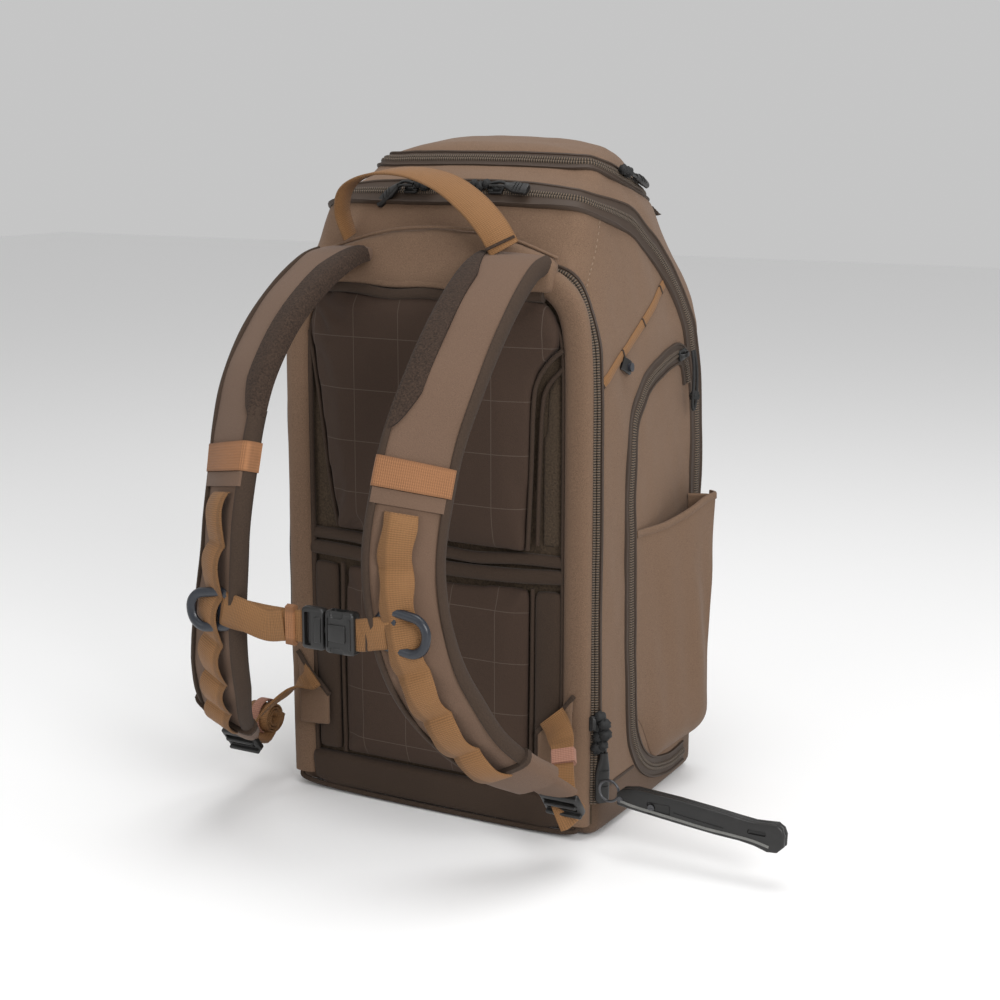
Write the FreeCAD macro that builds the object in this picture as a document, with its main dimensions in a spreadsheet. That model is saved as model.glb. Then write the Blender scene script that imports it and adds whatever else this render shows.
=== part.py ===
"""Hunting daypack with a zipped back panel, side doors, clamshell front and harness, in millimetres.

The pack stands on its flat base at z = 0. The harness side faces -Y, the front faces +Y, +Z is up.
"""

import FreeCAD, Part
import Sketcher
import math
import os
import re

doc = FreeCAD.newDocument("daypack")
sheet = doc.addObject("Spreadsheet::Sheet", "Sizes")

SIZES = {
    # the sewn case
    "half_w": 148, "rear_y": -100, "front_y": 110, "wall": 5, "split": 0.6,
    "waist_z": 400, "collar_w": 128, "collar_z": 500, "brim_w": 110, "brim_z": 536, "top_w": 96,
    "rear_top_z": 462, "brow_y": -74, "brow_z": 517, "lid_rear_y": -30, "lid_rear_z": 537,
    "crown_rear_y": -18, "crown_rear_z": 553, "crown_y": 35, "crown_z": 560,
    "lid_front_y": 88, "lid_front_z": 545, "front_top_z": 505,
    "boot_z": 40, "tape": 1.2, "tape_w": 8,
    # zip lines on the side of the case
    "flap_foot_z": 45, "flap_edge_y": 94, "flap_knee_z": 336,
    "door_edge_y": 84, "door_foot_z": 20, "door_rear_y": -42, "door_top_z": 379,
    "lid_line_rear_z": 543, "lid_line_front_z": 500,
    # the back panel
    "panel_w": 136, "panel_foot_z": 16, "panel_top_z": 456, "panel_corner": 34,
    "sheet_t": 1.5, "sheet_w": 120, "sheet_foot_z": 40, "sheet_top_z": 430,
    "stay_w": 20, "stay_t": 3, "stay_x": 58, "sleeve_t": 1.5,
    "pad_w": 92, "pad_t": 16, "pad_foot_z": 230, "pad_top_z": 436,
    "lumbar_w": 88, "lumbar_t": 13, "lumbar_foot_z": 34, "lumbar_top_z": 206,
    "yoke_w": 112, "yoke_t": 12, "yoke_foot_z": 444, "yoke_top_z": 478, "standoff": 2,
    # shoulder straps, stations from the yoke down to the adjuster
    "strap_w": 62, "strap_t": 12, "web": 25, "web_t": 2, "chain_in": 5,
    "strap_xa": 80, "strap_ya": -112, "strap_za": 462,
    "strap_xb": 84, "strap_yb": -165, "strap_zb": 440,
    "strap_xc": 86, "strap_yc": -232, "strap_zc": 378,
    "strap_xd": 81, "strap_yd": -262, "strap_zd": 312,
    "strap_xe": 81, "strap_ye": -276, "strap_ze": 245,
    "strap_xf": 94, "strap_yf": -268, "strap_zf": 175,
    "strap_xg": 118, "strap_yg": -236, "strap_zg": 115,
    "strap_xh": 142, "strap_yh": -190, "strap_zh": 78,
    "cap_x": 151, "cap_y": -168, "cap_z": 60, "cap_w": 32, "cap_t": 8,
    "chain_top_z": 288, "chain_foot_z": 86, "band_top_z": 322, "band_foot_z": 297,
    "lock_w": 34, "lock_t": 6, "lock_len": 24, "lock_top_z": 57, "lock_y": -172, "lock_rim": 5,
    "wing_in": 103, "wing_out": 132, "wing_t": 3, "wing_foot_z": 58, "wing_top_z": 118,
    "lower_x": 108, "lower_shift": 28, "lower_ya": -107.2, "lower_za": 84,
    "lower_yb": -158, "lower_zb": 51,
    "tail_ya": -122, "tail_za": 58, "tail_yb": -148, "tail_zb": 34,
    "roll_rad": 13, "roll_x": 154, "roll_y": -118, "roll_z": 60, "keeper_t": 1.5, "keeper_w": 9,
    # sternum strap and its side-release buckle
    "chest_z": 205.5, "slide_x": 84, "slide_w": 42, "slide_len": 34, "slide_y": -288, "slide_t": 5,
    "slide_rim": 6, "slide_corner": 10, "chest_web_t": 2.4, "chest_gap": 0.4,
    "chest_left": -80, "chest_plug": 2,
    "plug_end": 22, "prong_end": 44, "socket_start": 23, "socket_end": 49, "socket_floor": 46.5,
    "buckle_h": 33, "buckle_t": 12.5, "buckle_corner": 3, "mouth_h": 25, "mouth_t": 6.6,
    "prong_t": 4.4, "prong_h": 3.4,
    "prong_gap": 0.6, "tongue_h": 5, "chest_keeper_x": -12, "chest_keeper_w": 8,
    # grab handle
    "grab_t": 2.5, "grab_y": -102, "grab_foot_z": 486,
    # side door and bottle pocket
    "pocket_out": 25, "pocket_wall": 3, "pocket_rear_y": -20, "pocket_foot_z": 34, "pocket_top_z": 238,
    # zip sliders and pulls
    "slider_w": 9, "slider_len": 13, "slider_t": 5, "pull_w": 8, "pull_t": 3, "pull_len": 30,
    "main_right_x": 57, "main_left_x": -44, "cord_d": 2.6,
    # ring and sheathed tool
    "tool_len": 140, "tool_t": 10, "tool_x": 178, "tool_y": -112, "tool_z": 48,
    "ring_rad": 8, "ring_wire": 2.2, "screw_rad": 3, "screw_h": 1.4,
}

for row, (alias, size) in enumerate(SIZES.items(), start=1):
    sheet.set(f"A{row}", alias)
    sheet.set(f"B{row}", str(size))
    sheet.setAlias(f"B{row}", alias)
doc.recompute()

nodes = {}


def cell(text):
    """Turn the aliases in a formula into references to the sheet."""
    return re.sub(r"\b([a-z][a-z_]+)\b", r"Sizes.\1", str(text))


def value(text):
    """The number a formula on the sheet comes to."""
    return float(sheet.evalExpression(cell(text)))


def prism(name, plane, corners, start, depth, side=1):
    """A padded outline: plane YZ pads along +X from start, plane XZ pads along -Y from start."""
    body = doc.addObject("PartDesign::Body", name)
    sketch = body.newObject("Sketcher::SketchObject", name + "_outline")
    origin_plane = [item for item in body.Origin.OriginFeatures if item.Role == plane][0]
    sketch.AttachmentSupport = (origin_plane, [""])
    sketch.MapMode = "FlatFace"
    if plane == "XZ_Plane":
        corners = [(f"{side}*({across})", up) for across, up in corners]
        start = f"-({start})"
    elif side < 0:
        start = f"-({start})-({depth})"
    spots = [FreeCAD.Vector(value(across), value(up), 0) for across, up in corners]
    count = len(spots)
    for index in range(count):
        sketch.addGeometry(Part.LineSegment(spots[index], spots[(index + 1) % count]))
    for index in range(count):
        sketch.addConstraint(Sketcher.Constraint("Coincident", index, 2, (index + 1) % count, 1))
    for index, (across, up) in enumerate(corners):
        tie = sketch.addConstraint(
            Sketcher.Constraint("DistanceX", -1, 1, index, 1, spots[index].x))
        sketch.setExpression(f"Constraints[{tie}]", cell(across))
        tie = sketch.addConstraint(
            Sketcher.Constraint("DistanceY", -1, 1, index, 1, spots[index].y))
        sketch.setExpression(f"Constraints[{tie}]", cell(up))
    sketch.setExpression("AttachmentOffset.Base.z", cell(start))
    pad = body.newObject("PartDesign::Pad", name + "_pad")
    pad.Profile = sketch
    pad.setExpression("Length", cell(depth))
    return body


def block(name, x, y, z, length, width, height, side=1):
    """A box with its low corner at (x, y, z); side -1 mirrors it across x = 0."""
    box = doc.addObject("Part::Box", name)
    box.setExpression("Length", cell(length))
    box.setExpression("Width", cell(width))
    box.setExpression("Height", cell(height))
    low = x if side > 0 else f"-({x})-({length})"
    box.setExpression("Placement.Base.x", cell(low))
    box.setExpression("Placement.Base.y", cell(y))
    box.setExpression("Placement.Base.z", cell(z))
    return box


def cylinder(name, radius, height, x, y, z, axis):
    """A cylinder from (x, y, z) along the given axis vector."""
    rod = doc.addObject("Part::Cylinder", name)
    rod.setExpression("Radius", cell(radius))
    rod.setExpression("Height", cell(height))
    rod.Placement.Rotation = FreeCAD.Rotation(FreeCAD.Vector(0, 0, 1), FreeCAD.Vector(*axis))
    rod.setExpression("Placement.Base.x", cell(x))
    rod.setExpression("Placement.Base.y", cell(y))
    rod.setExpression("Placement.Base.z", cell(z))
    return rod


def boolean(kind, name, base, tool):
    """One boolean of two pieces: kind is Cut, Fuse or Common."""
    piece = doc.addObject("Part::" + kind, name)
    piece.Base = base
    piece.Tool = tool
    return piece


def cut(name, base, *tools):
    """The base less each tool in turn; the last step carries the name."""
    for step, tool in enumerate(tools, start=1):
        label = name if step == len(tools) else f"{name}_step{step}"
        base = boolean("Cut", label, base, tool)
    return base


def rounded(name, base, radius, keep):
    """Fillet the edges of a box for which keep(direction) is true."""
    doc.recompute()
    fillet = doc.addObject("Part::Fillet", name)
    fillet.Base = base
    edges = []
    for number, edge in enumerate(base.Shape.Edges, start=1):
        ends = [vertex.Point for vertex in edge.Vertexes]
        along = (ends[1] - ends[0]).normalize()
        if keep(along):
            edges.append((number, value(radius), value(radius)))
    fillet.Edges = edges
    return fillet


def part(piece):
    """Keep a finished piece as a node, under its own name."""
    nodes[piece.Label] = piece
    return piece


def mitres(corners, closed):
    """The unit offset direction at each corner, to the left of the path."""
    spots = [FreeCAD.Vector(value(across), value(up), 0) for across, up in corners]
    count = len(spots)
    result = []
    for index in range(count):
        normals = []
        for low, high in ((index - 1, index), (index, index + 1)):
            if closed or (low >= 0 and high < count):
                along = (spots[high % count] - spots[low % count]).normalize()
                normals.append(FreeCAD.Vector(-along.y, along.x, 0))
        total = normals[0] if len(normals) == 1 else normals[0] + normals[1]
        reach = 1 if len(normals) == 1 else 1 + normals[0].dot(normals[1])
        result.append(total * (1.0 / reach))
    return result


def offset(corners, distance):
    """A closed outline moved inwards by a distance; the outline runs clockwise."""
    moves = mitres(corners, True)
    return [(f"{across} - {move.x:.5f}*({distance})", f"{up} - {move.y:.5f}*({distance})")
            for (across, up), move in zip(corners, moves)]


def ribbon(stations, near, far):
    """The outline of a band between two distances to the left of an open path."""
    moves = mitres(stations, False)
    there = [(f"{across} + {move.x:.5f}*({near})", f"{up} + {move.y:.5f}*({near})")
             for (across, up), move in zip(stations, moves)]
    back = [(f"{across} + {move.x:.5f}*({far})", f"{up} + {move.y:.5f}*({far})")
            for (across, up), move in zip(stations, moves)]
    return there + back[::-1]


def cord_tube(name, route, width, side=1):
    """A round cord along straight runs and tangent arcs, from the first point to the last."""
    spots = [FreeCAD.Vector(side * value(x), value(y), value(z)) for x, y, z in route]
    edges = []
    radii = []
    last = spots[0]
    for before, corner, after in zip(spots, spots[1:], spots[2:]):
        back = (before - corner).normalize()
        ahead = (after - corner).normalize()
        half_turn = (math.pi - back.getAngle(ahead)) / 2
        reach = 0.45 * min((before - corner).Length, (after - corner).Length)
        radius = reach / math.tan(half_turn)
        inward = (back + ahead).normalize()
        middle = corner + inward * (math.hypot(radius, reach) - radius)
        start = corner + back * reach
        finish = corner + ahead * reach
        edges.append(Part.LineSegment(last, start).toShape())
        edges.append(Part.Arc(start, middle, finish).toShape())
        radii.append(round(radius, 1))
        last = finish
    edges.append(Part.LineSegment(last, spots[-1]).toShape())
    path = Part.Wire(edges)
    rim = Part.Circle(spots[0], spots[1] - spots[0], value(width) / 2).toShape()
    tube = path.makePipeShell([Part.Wire(rim)], True, False)
    expected = math.pi * value(width) ** 2 / 4 * path.Length
    print(name, "length", round(path.Length, 1), "radii", radii, "volume ratio",
          round(tube.Volume / expected, 4))
    piece = doc.addObject("Part::Feature", name)
    piece.Shape = tube
    piece.Placement = FreeCAD.Placement()
    return piece


# --- the sewn case: one outer form, one inner form, and the fabric between them ---
SIDE_FORM = [
    ("rear_y", "0"), ("rear_y", "rear_top_z"), ("brow_y", "brow_z"),
    ("lid_rear_y", "lid_rear_z"), ("crown_rear_y", "crown_rear_z"), ("crown_y", "crown_z"),
    ("lid_front_y", "lid_front_z"), ("front_y", "front_top_z"), ("front_y", "0"),
]
FRONT_FORM = [
    ("-half_w", "0"), ("-half_w", "waist_z"), ("-collar_w", "collar_z"), ("-brim_w", "brim_z"),
    ("-top_w", "crown_z"), ("top_w", "crown_z"), ("brim_w", "brim_z"), ("collar_w", "collar_z"),
    ("half_w", "waist_z"), ("half_w", "0"),
]


def form(name, inset):
    """The outer form of the case moved inwards by inset."""
    side = prism(name + "_side", "YZ_Plane", offset(SIDE_FORM, inset), "-half_w-20", "2*half_w+40")
    front = prism(name + "_front", "XZ_Plane", offset(FRONT_FORM, inset), "front_y+20",
                  "front_y-rear_y+40")
    return boolean("Common", name, side, front)


outer = form("outer_form", "0")
inner = form("inner_form", "wall")
proud = form("proud_form", "-tape")
fabric = cut("fabric", outer, inner)
skin = cut("skin", proud, outer)

# --- regions that divide the case along its zips ---
FLAP = [
    ("brow_y-14", "brow_z+11"), ("brow_y-14", "crown_z+30"), ("front_y+30", "crown_z+30"),
    ("front_y+30", "flap_foot_z"), ("flap_edge_y", "flap_foot_z"), ("flap_edge_y", "flap_knee_z"),
    ("flap_edge_y-10", "flap_knee_z+52"), ("flap_edge_y-23", "flap_knee_z+88"),
    ("flap_edge_y-52", "flap_knee_z+125"), ("flap_edge_y-98", "flap_knee_z+156"),
    ("brow_y+8", "brow_z-8"),
]
LID = [
    ("brow_y-30", "lid_line_rear_z+19"), ("brow_y-30", "crown_z+30"), ("front_y+30", "crown_z+30"),
    ("front_y+30", "lid_line_front_z-6"), ("front_y", "lid_line_front_z"),
    ("lid_rear_y-10", "lid_line_rear_z"),
]
DOOR = [
    ("door_edge_y", "door_foot_z"), ("44", "door_foot_z"), ("2", "door_foot_z+12"),
    ("door_rear_y+14", "60"), ("door_rear_y+3", "97"), ("door_rear_y", "312"),
    ("door_rear_y+10", "343"), ("0", "door_top_z-12"), ("66", "door_top_z"),
    ("door_edge_y-8", "352"), ("door_edge_y", "300"),
]
PANEL = [
    ("-panel_w", "panel_foot_z"), ("-panel_w", "panel_top_z-panel_corner"),
    ("-panel_w+panel_corner", "panel_top_z"), ("panel_w-panel_corner", "panel_top_z"),
    ("panel_w", "panel_top_z-panel_corner"), ("panel_w", "panel_foot_z"),
]


def across_case(name, corners):
    """A region across the whole width."""
    return prism(name, "YZ_Plane", corners, "-half_w-30", "2*half_w+60")


flap_region = across_case("flap_region", FLAP)
flap_room = across_case("flap_room", offset(FLAP, "-split"))
lid_region = across_case("lid_region", LID)
lid_room = across_case("lid_room", offset(LID, "-split"))
panel_region = prism("panel_region", "XZ_Plane", PANEL, "rear_y+wall+2", "wall+10")
panel_room = prism("panel_room", "XZ_Plane", offset(PANEL, "-split"), "rear_y+wall+3", "wall+12")
door_region = {}
door_room = {}
door_ring = {}
for word, side in (("right", 1), ("left", -1)):
    door_region[word] = prism(f"door_region_{word}", "YZ_Plane", DOOR, "half_w-22", "40", side)
    door_room[word] = prism(
        f"door_room_{word}", "YZ_Plane", offset(DOOR, "-split"), "half_w-24", "44", side)
    door_ring[word] = prism(
        f"door_ring_{word}", "YZ_Plane", offset(DOOR, "-split-tape_w"), "half_w-24", "44", side)

remainder = cut("remainder", fabric, flap_room, panel_room, door_room["right"], door_room["left"])
boot_region = block("boot_region", "-half_w-20", "rear_y-20", "-10", "2*half_w+40",
                    "front_y-rear_y+40", "boot_z+10")
part(cut("main_shell", remainder, boot_region))
part(boolean("Common", "base_boot", remainder, boot_region))

# --- zip tapes, a thin raised border beside each opening ---
flap_border = across_case("flap_border", offset(FLAP, "-split-tape_w"))
foot_clear = block("foot_clear", "-half_w-40", "rear_y-40", "-20", "2*half_w+80",
                   "front_y-rear_y+80", "flap_foot_z+20")
main_band = cut("main_band", flap_border, flap_room, foot_clear)
part(boolean("Common", "main_zip_tape", skin, main_band))
panel_border = prism("panel_border", "XZ_Plane", offset(PANEL, "-split-tape_w"), "rear_y+2", "wall")
panel_foot_clear = block("panel_foot_clear", "-half_w-40", "rear_y-40", "-20", "2*half_w+80",
                         "60", "panel_foot_z+24")
panel_band = cut("panel_band", panel_border, panel_room, panel_foot_clear)
part(boolean("Common", "rear_zip_tape", skin, panel_band))
door_front_clear = block("door_front_clear", "-half_w-40", "door_edge_y-2", "-20",
                         "2*half_w+80", "60", "crown_z")
door_bands = [cut(f"door_band_{word}", door_ring[word], door_room[word], door_front_clear)
              for word in ("right", "left")]
both_bands = boolean("Fuse", "both_bands", *door_bands)
side_tapes = boolean("Common", "side_tapes", skin, both_bands)
part(cut("side_zip_tapes", side_tapes, main_band))

# --- the clamshell front, its lid and the floor of the top pocket ---
front_whole = boolean("Common", "front_whole", fabric, flap_region)
part(cut("front_panel", front_whole, lid_room))
part(boolean("Common", "lid_panel", fabric, lid_region))
POCKET_FLOOR = [
    ("rear_y", "lid_line_rear_z-3"), ("front_y+5", "lid_line_front_z-18"),
    ("front_y+5", "lid_line_front_z-20"), ("rear_y", "lid_line_rear_z-5"),
]
floor_slab = across_case("floor_slab", POCKET_FLOOR)
part(boolean("Common", "top_pocket_floor", inner, floor_slab))

# --- the side doors and their bottle pockets ---
POCKET = [
    ("door_edge_y-2", "pocket_foot_z"), ("6", "pocket_foot_z+8"), ("pocket_rear_y", "64"),
    ("pocket_rear_y", "pocket_top_z"), ("door_edge_y-2", "pocket_top_z"),
]
POCKET_ROOM = POCKET[:3] + [(across, "pocket_top_z+20") for across, up in POCKET[3:]]
for word, side in (("right", 1), ("left", -1)):
    part(boolean("Common", f"door_panel_{word}", fabric, door_region[word]))
    shell = prism(f"pocket_shell_{word}", "YZ_Plane", POCKET, "half_w+0.1", "pocket_out", side)
    room = prism(f"pocket_room_{word}", "YZ_Plane", offset(POCKET_ROOM, "pocket_wall"),
                 "half_w-1", "pocket_out+1.1-pocket_wall", side)
    part(cut(f"bottle_pocket_{word}", shell, room))

# --- the back panel with its frame sheet, stays, sleeve, pads and yoke ---
part(boolean("Common", "rear_panel", fabric, panel_region))
part(block("frame_sheet", "-sheet_w", "rear_y+wall", "sheet_foot_z", "2*sheet_w", "sheet_t",
           "sheet_top_z-sheet_foot_z"))
stay_pair = [block(f"stay_{word}", "stay_x", "rear_y+wall+sheet_t", "sheet_foot_z+6", "stay_w",
                   "stay_t", "sheet_top_z-sheet_foot_z-12", side)
             for word, side in (("right", 1), ("left", -1))]
part(boolean("Fuse", "frame_stays", *stay_pair))
part(block("water_sleeve", "-sheet_w+8", "rear_y+wall+sheet_t+stay_t", "sheet_foot_z+20",
           "2*sheet_w-16", "sleeve_t", "sheet_top_z-sheet_foot_z-40"))
UPPER_PAD = [
    ("-pad_w+8", "pad_foot_z"), ("-pad_w", "pad_top_z-30"), ("-pad_w+34", "pad_top_z"),
    ("pad_w-34", "pad_top_z"), ("pad_w", "pad_top_z-30"), ("pad_w-8", "pad_foot_z"),
]
part(prism("upper_back_pad", "XZ_Plane", UPPER_PAD, "rear_y", "pad_t"))
part(block("lumbar_pad", "-lumbar_w", "rear_y-lumbar_t", "lumbar_foot_z", "2*lumbar_w", "lumbar_t",
           "lumbar_top_z-lumbar_foot_z"))
yoke = part(block("yoke", "-yoke_w", "rear_y-yoke_t", "yoke_foot_z", "2*yoke_w",
                  "yoke_t-standoff", "yoke_top_z-yoke_foot_z"))

# --- shoulder straps: a side curve and a front curve meet in one padded band ---
LETTERS = "abcdefgh"
SIDE_CURVE = [(f"strap_y{letter}", f"strap_z{letter}") for letter in LETTERS]
FRONT_CURVE = [(f"strap_x{letter}", f"strap_z{letter}") for letter in LETTERS]
FRONT_CURVE[0] = ("strap_xa", "strap_za+20")
CHAIN_CURVE = [(f"{across}-chain_in", up) for across, up in FRONT_CURVE[2:]]
wings = []
bands = []
for word, side in (("right", 1), ("left", -1)):
    along = prism(f"strap_side_{word}", "YZ_Plane", ribbon(SIDE_CURVE, "-strap_t/2", "strap_t/2"),
                  "20", "200", side)
    facing = prism(f"strap_front_{word}", "XZ_Plane",
                   ribbon(FRONT_CURVE, "-strap_w/2", "strap_w/2"), "rear_y", "220", side)
    whole = boolean("Common", f"strap_whole_{word}", along, facing)
    part(cut(f"shoulder_strap_{word}", whole, yoke))

    chain_side = prism(f"chain_side_{word}", "YZ_Plane",
                       ribbon(SIDE_CURVE, "-strap_t/2-web_t", "-strap_t/2"), "20", "200", side)
    chain_front = prism(f"chain_front_{word}", "XZ_Plane", ribbon(CHAIN_CURVE, "-web/2", "web/2"),
                        "rear_y", "220", side)
    chain_span = block(f"chain_span_{word}", "20", "-320", "chain_foot_z", "200", "220",
                       "chain_top_z-chain_foot_z", side)
    chain_full = boolean("Common", f"chain_full_{word}", chain_side, chain_front)
    part(boolean("Common", f"daisy_chain_{word}", chain_full, chain_span))

    band_front = block(f"band_front_{word}", "strap_xd-strap_w/2-1", "-320", "band_foot_z",
                       "strap_w+2", "220", "band_top_z-band_foot_z", side)
    bands.append(boolean("Common", f"elastic_band_{word}", chain_side, band_front))

    cap_side = prism(
        f"cap_side_{word}", "YZ_Plane",
        ribbon([("strap_yh", "strap_zh"), ("cap_y", "cap_z")], "-cap_t/2", "cap_t/2"),
        "20", "200", side)
    CAP = [
        ("strap_xh-strap_w/2+8", "strap_zh+12"), ("strap_xh+strap_w/2-4", "strap_zh+12"),
        ("cap_x+cap_w/2", "cap_z-6"), ("cap_x-cap_w/2", "cap_z-6"),
    ]
    cap_front = prism(f"cap_front_{word}", "XZ_Plane", CAP, "rear_y", "220", side)
    cap_whole = boolean("Common", f"cap_whole_{word}", cap_side, cap_front)
    part(cut(f"strap_end_{word}", cap_whole, along))

    lock_shell = block(f"lock_shell_{word}", "cap_x-lock_w/2", "lock_y", "lock_top_z-lock_len-4",
                       "lock_w", "lock_t", "lock_len", side)
    lock_slot = block(f"lock_slot_{word}", "cap_x-web/2-0.5", "lock_y-2",
                      "lock_top_z-lock_len-4+lock_rim", "web+1", "lock_t+4", "5", side)
    lock_high = block(f"lock_high_{word}", "cap_x-web/2-0.5", "lock_y-2",
                      "lock_top_z-4-lock_rim-5", "web+1", "lock_t+4", "5", side)
    part(cut(f"ladder_lock_{word}", lock_shell, lock_slot, lock_high))

    wings.append(block(f"wing_{word}", "wing_in", "rear_y-standoff-wing_t-1", "wing_foot_z",
               "wing_out-wing_in", "wing_t", "wing_top_z-wing_foot_z", side))
    LOWER = [("lower_ya", "lower_za"), ("lower_yb", "lower_zb")]
    SLANT = [
        ("lower_x", "lower_za+3"), ("lower_x+web", "lower_za+3"),
        ("lower_x+web+lower_shift", "lower_zb-3"), ("lower_x+lower_shift", "lower_zb-3"),
    ]
    lower_side = prism(f"lower_side_{word}", "YZ_Plane", ribbon(LOWER, "-web_t", "0"), "90", "90",
                       side)
    lower_front = prism(f"lower_front_{word}", "XZ_Plane", SLANT, "rear_y", "80", side)
    part(boolean("Common", f"lower_webbing_{word}", lower_side, lower_front))

part(boolean("Fuse", "harness_wings", *wings))
part(boolean("Fuse", "elastic_bands", *bands))
TAIL = [("tail_ya", "tail_za"), ("tail_yb", "tail_zb")]
part(prism("webbing_tail_right", "YZ_Plane", ribbon(TAIL, "-web_t", "0"), "cap_x-4", "web"))
part(cylinder("webbing_roll_left", "roll_rad", "web", "-roll_x-web", "roll_y", "roll_z", (1, 0, 0)))
hoop = cylinder("hoop", "roll_rad+keeper_t", "keeper_w", "-roll_x-web/2-keeper_w/2", "roll_y",
                "roll_z", (1, 0, 0))
hoop_bore = cylinder("hoop_bore", "roll_rad", "keeper_w+2", "-roll_x-web/2-keeper_w/2-1", "roll_y",
                     "roll_z", (1, 0, 0))
part(cut("roll_keeper_left", hoop, hoop_bore))

# --- sternum strap ---
for word, side in (("right", 1), ("left", -1)):
    frame = block(f"slide_frame_{word}", "slide_x-slide_w/2", "slide_y", "chest_z-slide_len/2",
                  "slide_w", "slide_t", "slide_len", side)
    frame_round = rounded(f"slide_round_{word}", frame, "slide_corner",
                          lambda along: abs(along.y) > 0.9)
    frame_hole = block(f"slide_hole_{word}", "slide_x-slide_w/2+slide_rim", "slide_y-2",
                       "chest_z-slide_len/2+slide_rim", "slide_w-2*slide_rim", "slide_t+4",
                       "slide_len-2*slide_rim", side)
    part(cut(f"chest_slider_{word}", frame_round, frame_hole))
part(block("chest_webbing_left", "chest_left", "slide_y-chest_gap-chest_web_t", "chest_z-web/2",
           "chest_plug-chest_left", "chest_web_t", "web"))
part(block("chest_webbing_right", "socket_end", "slide_y-chest_gap-chest_web_t", "chest_z-web/2",
           "slide_x-socket_end", "chest_web_t", "web"))
MIDDLE = "slide_y-chest_gap-chest_web_t/2"
keeper_out = block("keeper_out", "chest_keeper_x", f"{MIDDLE}-chest_web_t/2-1.5",
                   "chest_z-web/2-1.5", "chest_keeper_w", "chest_web_t+3", "web+3")
keeper_bore = block("keeper_bore", "chest_keeper_x-1", f"{MIDDLE}-chest_web_t/2", "chest_z-web/2",
                    "chest_keeper_w+2", "chest_web_t", "web")
part(cut("chest_keeper", keeper_out, keeper_bore))
plug_body = block("plug_body", "chest_plug", f"{MIDDLE}-buckle_t/2", "chest_z-buckle_h/2",
                  "plug_end-chest_plug", "buckle_t", "buckle_h")
plug_round = rounded("plug_round", plug_body, "buckle_corner",
                     lambda along: abs(along.y) > 0.9)
plug_window = block("plug_window", "chest_plug+4", f"{MIDDLE}-buckle_t/2-1", "chest_z-web/2-0.5",
                    "5", "buckle_t+2", "web+1")
plug_tongue = block("plug_tongue", "plug_end-1", f"{MIDDLE}-prong_t/2", "chest_z-tongue_h/2",
                    "prong_end-plug_end+1", "prong_t", "tongue_h")
plug_cut = cut("plug_cut", plug_round, plug_window)
part(boolean("Fuse", "buckle_plug", plug_cut, plug_tongue))
for word, level in (("upper", "chest_z+mouth_h/2-prong_gap-prong_h"),
                    ("lower", "chest_z-mouth_h/2+prong_gap")):
    part(block(f"buckle_prong_{word}", "plug_end+0.3", f"{MIDDLE}-prong_t/2", level,
               "prong_end-plug_end-0.3", "prong_t", "prong_h"))
socket_body = block("socket_body", "socket_start", f"{MIDDLE}-buckle_t/2", "chest_z-buckle_h/2",
                    "socket_end-socket_start", "buckle_t", "buckle_h")
socket_round = rounded("socket_round", socket_body, "buckle_corner",
                       lambda along: abs(along.y) > 0.9)
socket_mouth = block("socket_mouth", "socket_start-2", f"{MIDDLE}-mouth_t/2", "chest_z-mouth_h/2",
                     "socket_floor-socket_start+2", "mouth_t", "mouth_h")
socket_notch = block("socket_notch", "socket_start+7", f"{MIDDLE}-mouth_t/2", "chest_z-buckle_h",
                     "10", "mouth_t", "2*buckle_h")
part(cut("buckle_socket", socket_round, socket_mouth, socket_notch))

# --- grab handle: a webbing arch with feet a little wider than the hand ---
ARCH = [
    ("-78", "grab_foot_z"), ("-82", "grab_foot_z+20"), ("-66", "grab_foot_z+38"),
    ("-34", "grab_foot_z+45"), ("4", "grab_foot_z+28"), ("40", "grab_foot_z+8"),
    ("66", "grab_foot_z"),
]
part(prism("grab_webbing", "XZ_Plane", ribbon(ARCH, "0", "grab_t"), "grab_y", "web"))

# --- seam strips and snap tabs on the upper sides ---
SEAM = [("rear_y+6", "371"), ("45", "439")]
SNAP = [("-60", "374"), ("-60", "388"), ("-46", "388"), ("-42", "381"), ("-46", "374")]
seam_band = prism("seam_band", "YZ_Plane", ribbon(SEAM, "-2", "2"), "-half_w-20", "2*half_w+40")
snap_band = prism("snap_band", "YZ_Plane", SNAP, "-half_w-20", "2*half_w+40")
part(boolean("Common", "seam_strips", skin, seam_band))
part(cut("snap_tabs", boolean("Common", "snap_whole", skin, snap_band), seam_band))

# --- zip sliders and their pulls ---
TOP_TILT = FreeCAD.Rotation(FreeCAD.Vector(1, 0, 0), 38)
for word in ("right", "left"):
    for kind, far, thick, lift, wide in (("main_slider", "slider_len", "slider_t", "5", "slider_w"),
                                         ("main_pull", "pull_len", "pull_t", "10.6", "pull_w")):
        piece = doc.addObject("Part::Box", f"{kind}_{word}")
        sign = 1 if word == "right" else -1
        piece.setExpression("Length", cell(far))
        piece.setExpression("Width", cell(wide))
        piece.setExpression("Height", cell(thick))
        piece.Placement.Rotation = TOP_TILT
        shift = "0" if word == "left" else f"-({far})"
        piece.setExpression("Placement.Base.x", cell(f"main_{word}_x + {shift}"))
        piece.setExpression("Placement.Base.y", cell(f"brow_y - 5.6 - 0.61*({lift}-2.5)"))
        piece.setExpression("Placement.Base.z", cell(f"brow_z - 2.6 + 0.79*({lift}-2.5)"))
        part(piece)
part(block("rear_slider", "panel_w+split+0.4", "rear_y-tape-0.4-slider_t", "92", "slider_w",
           "slider_t", "slider_len"))
part(block("rear_pull", "panel_w+split+0.9", "rear_y-tape-0.8-slider_t-pull_t", "40", "pull_w",
           "pull_t", "58"))
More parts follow.
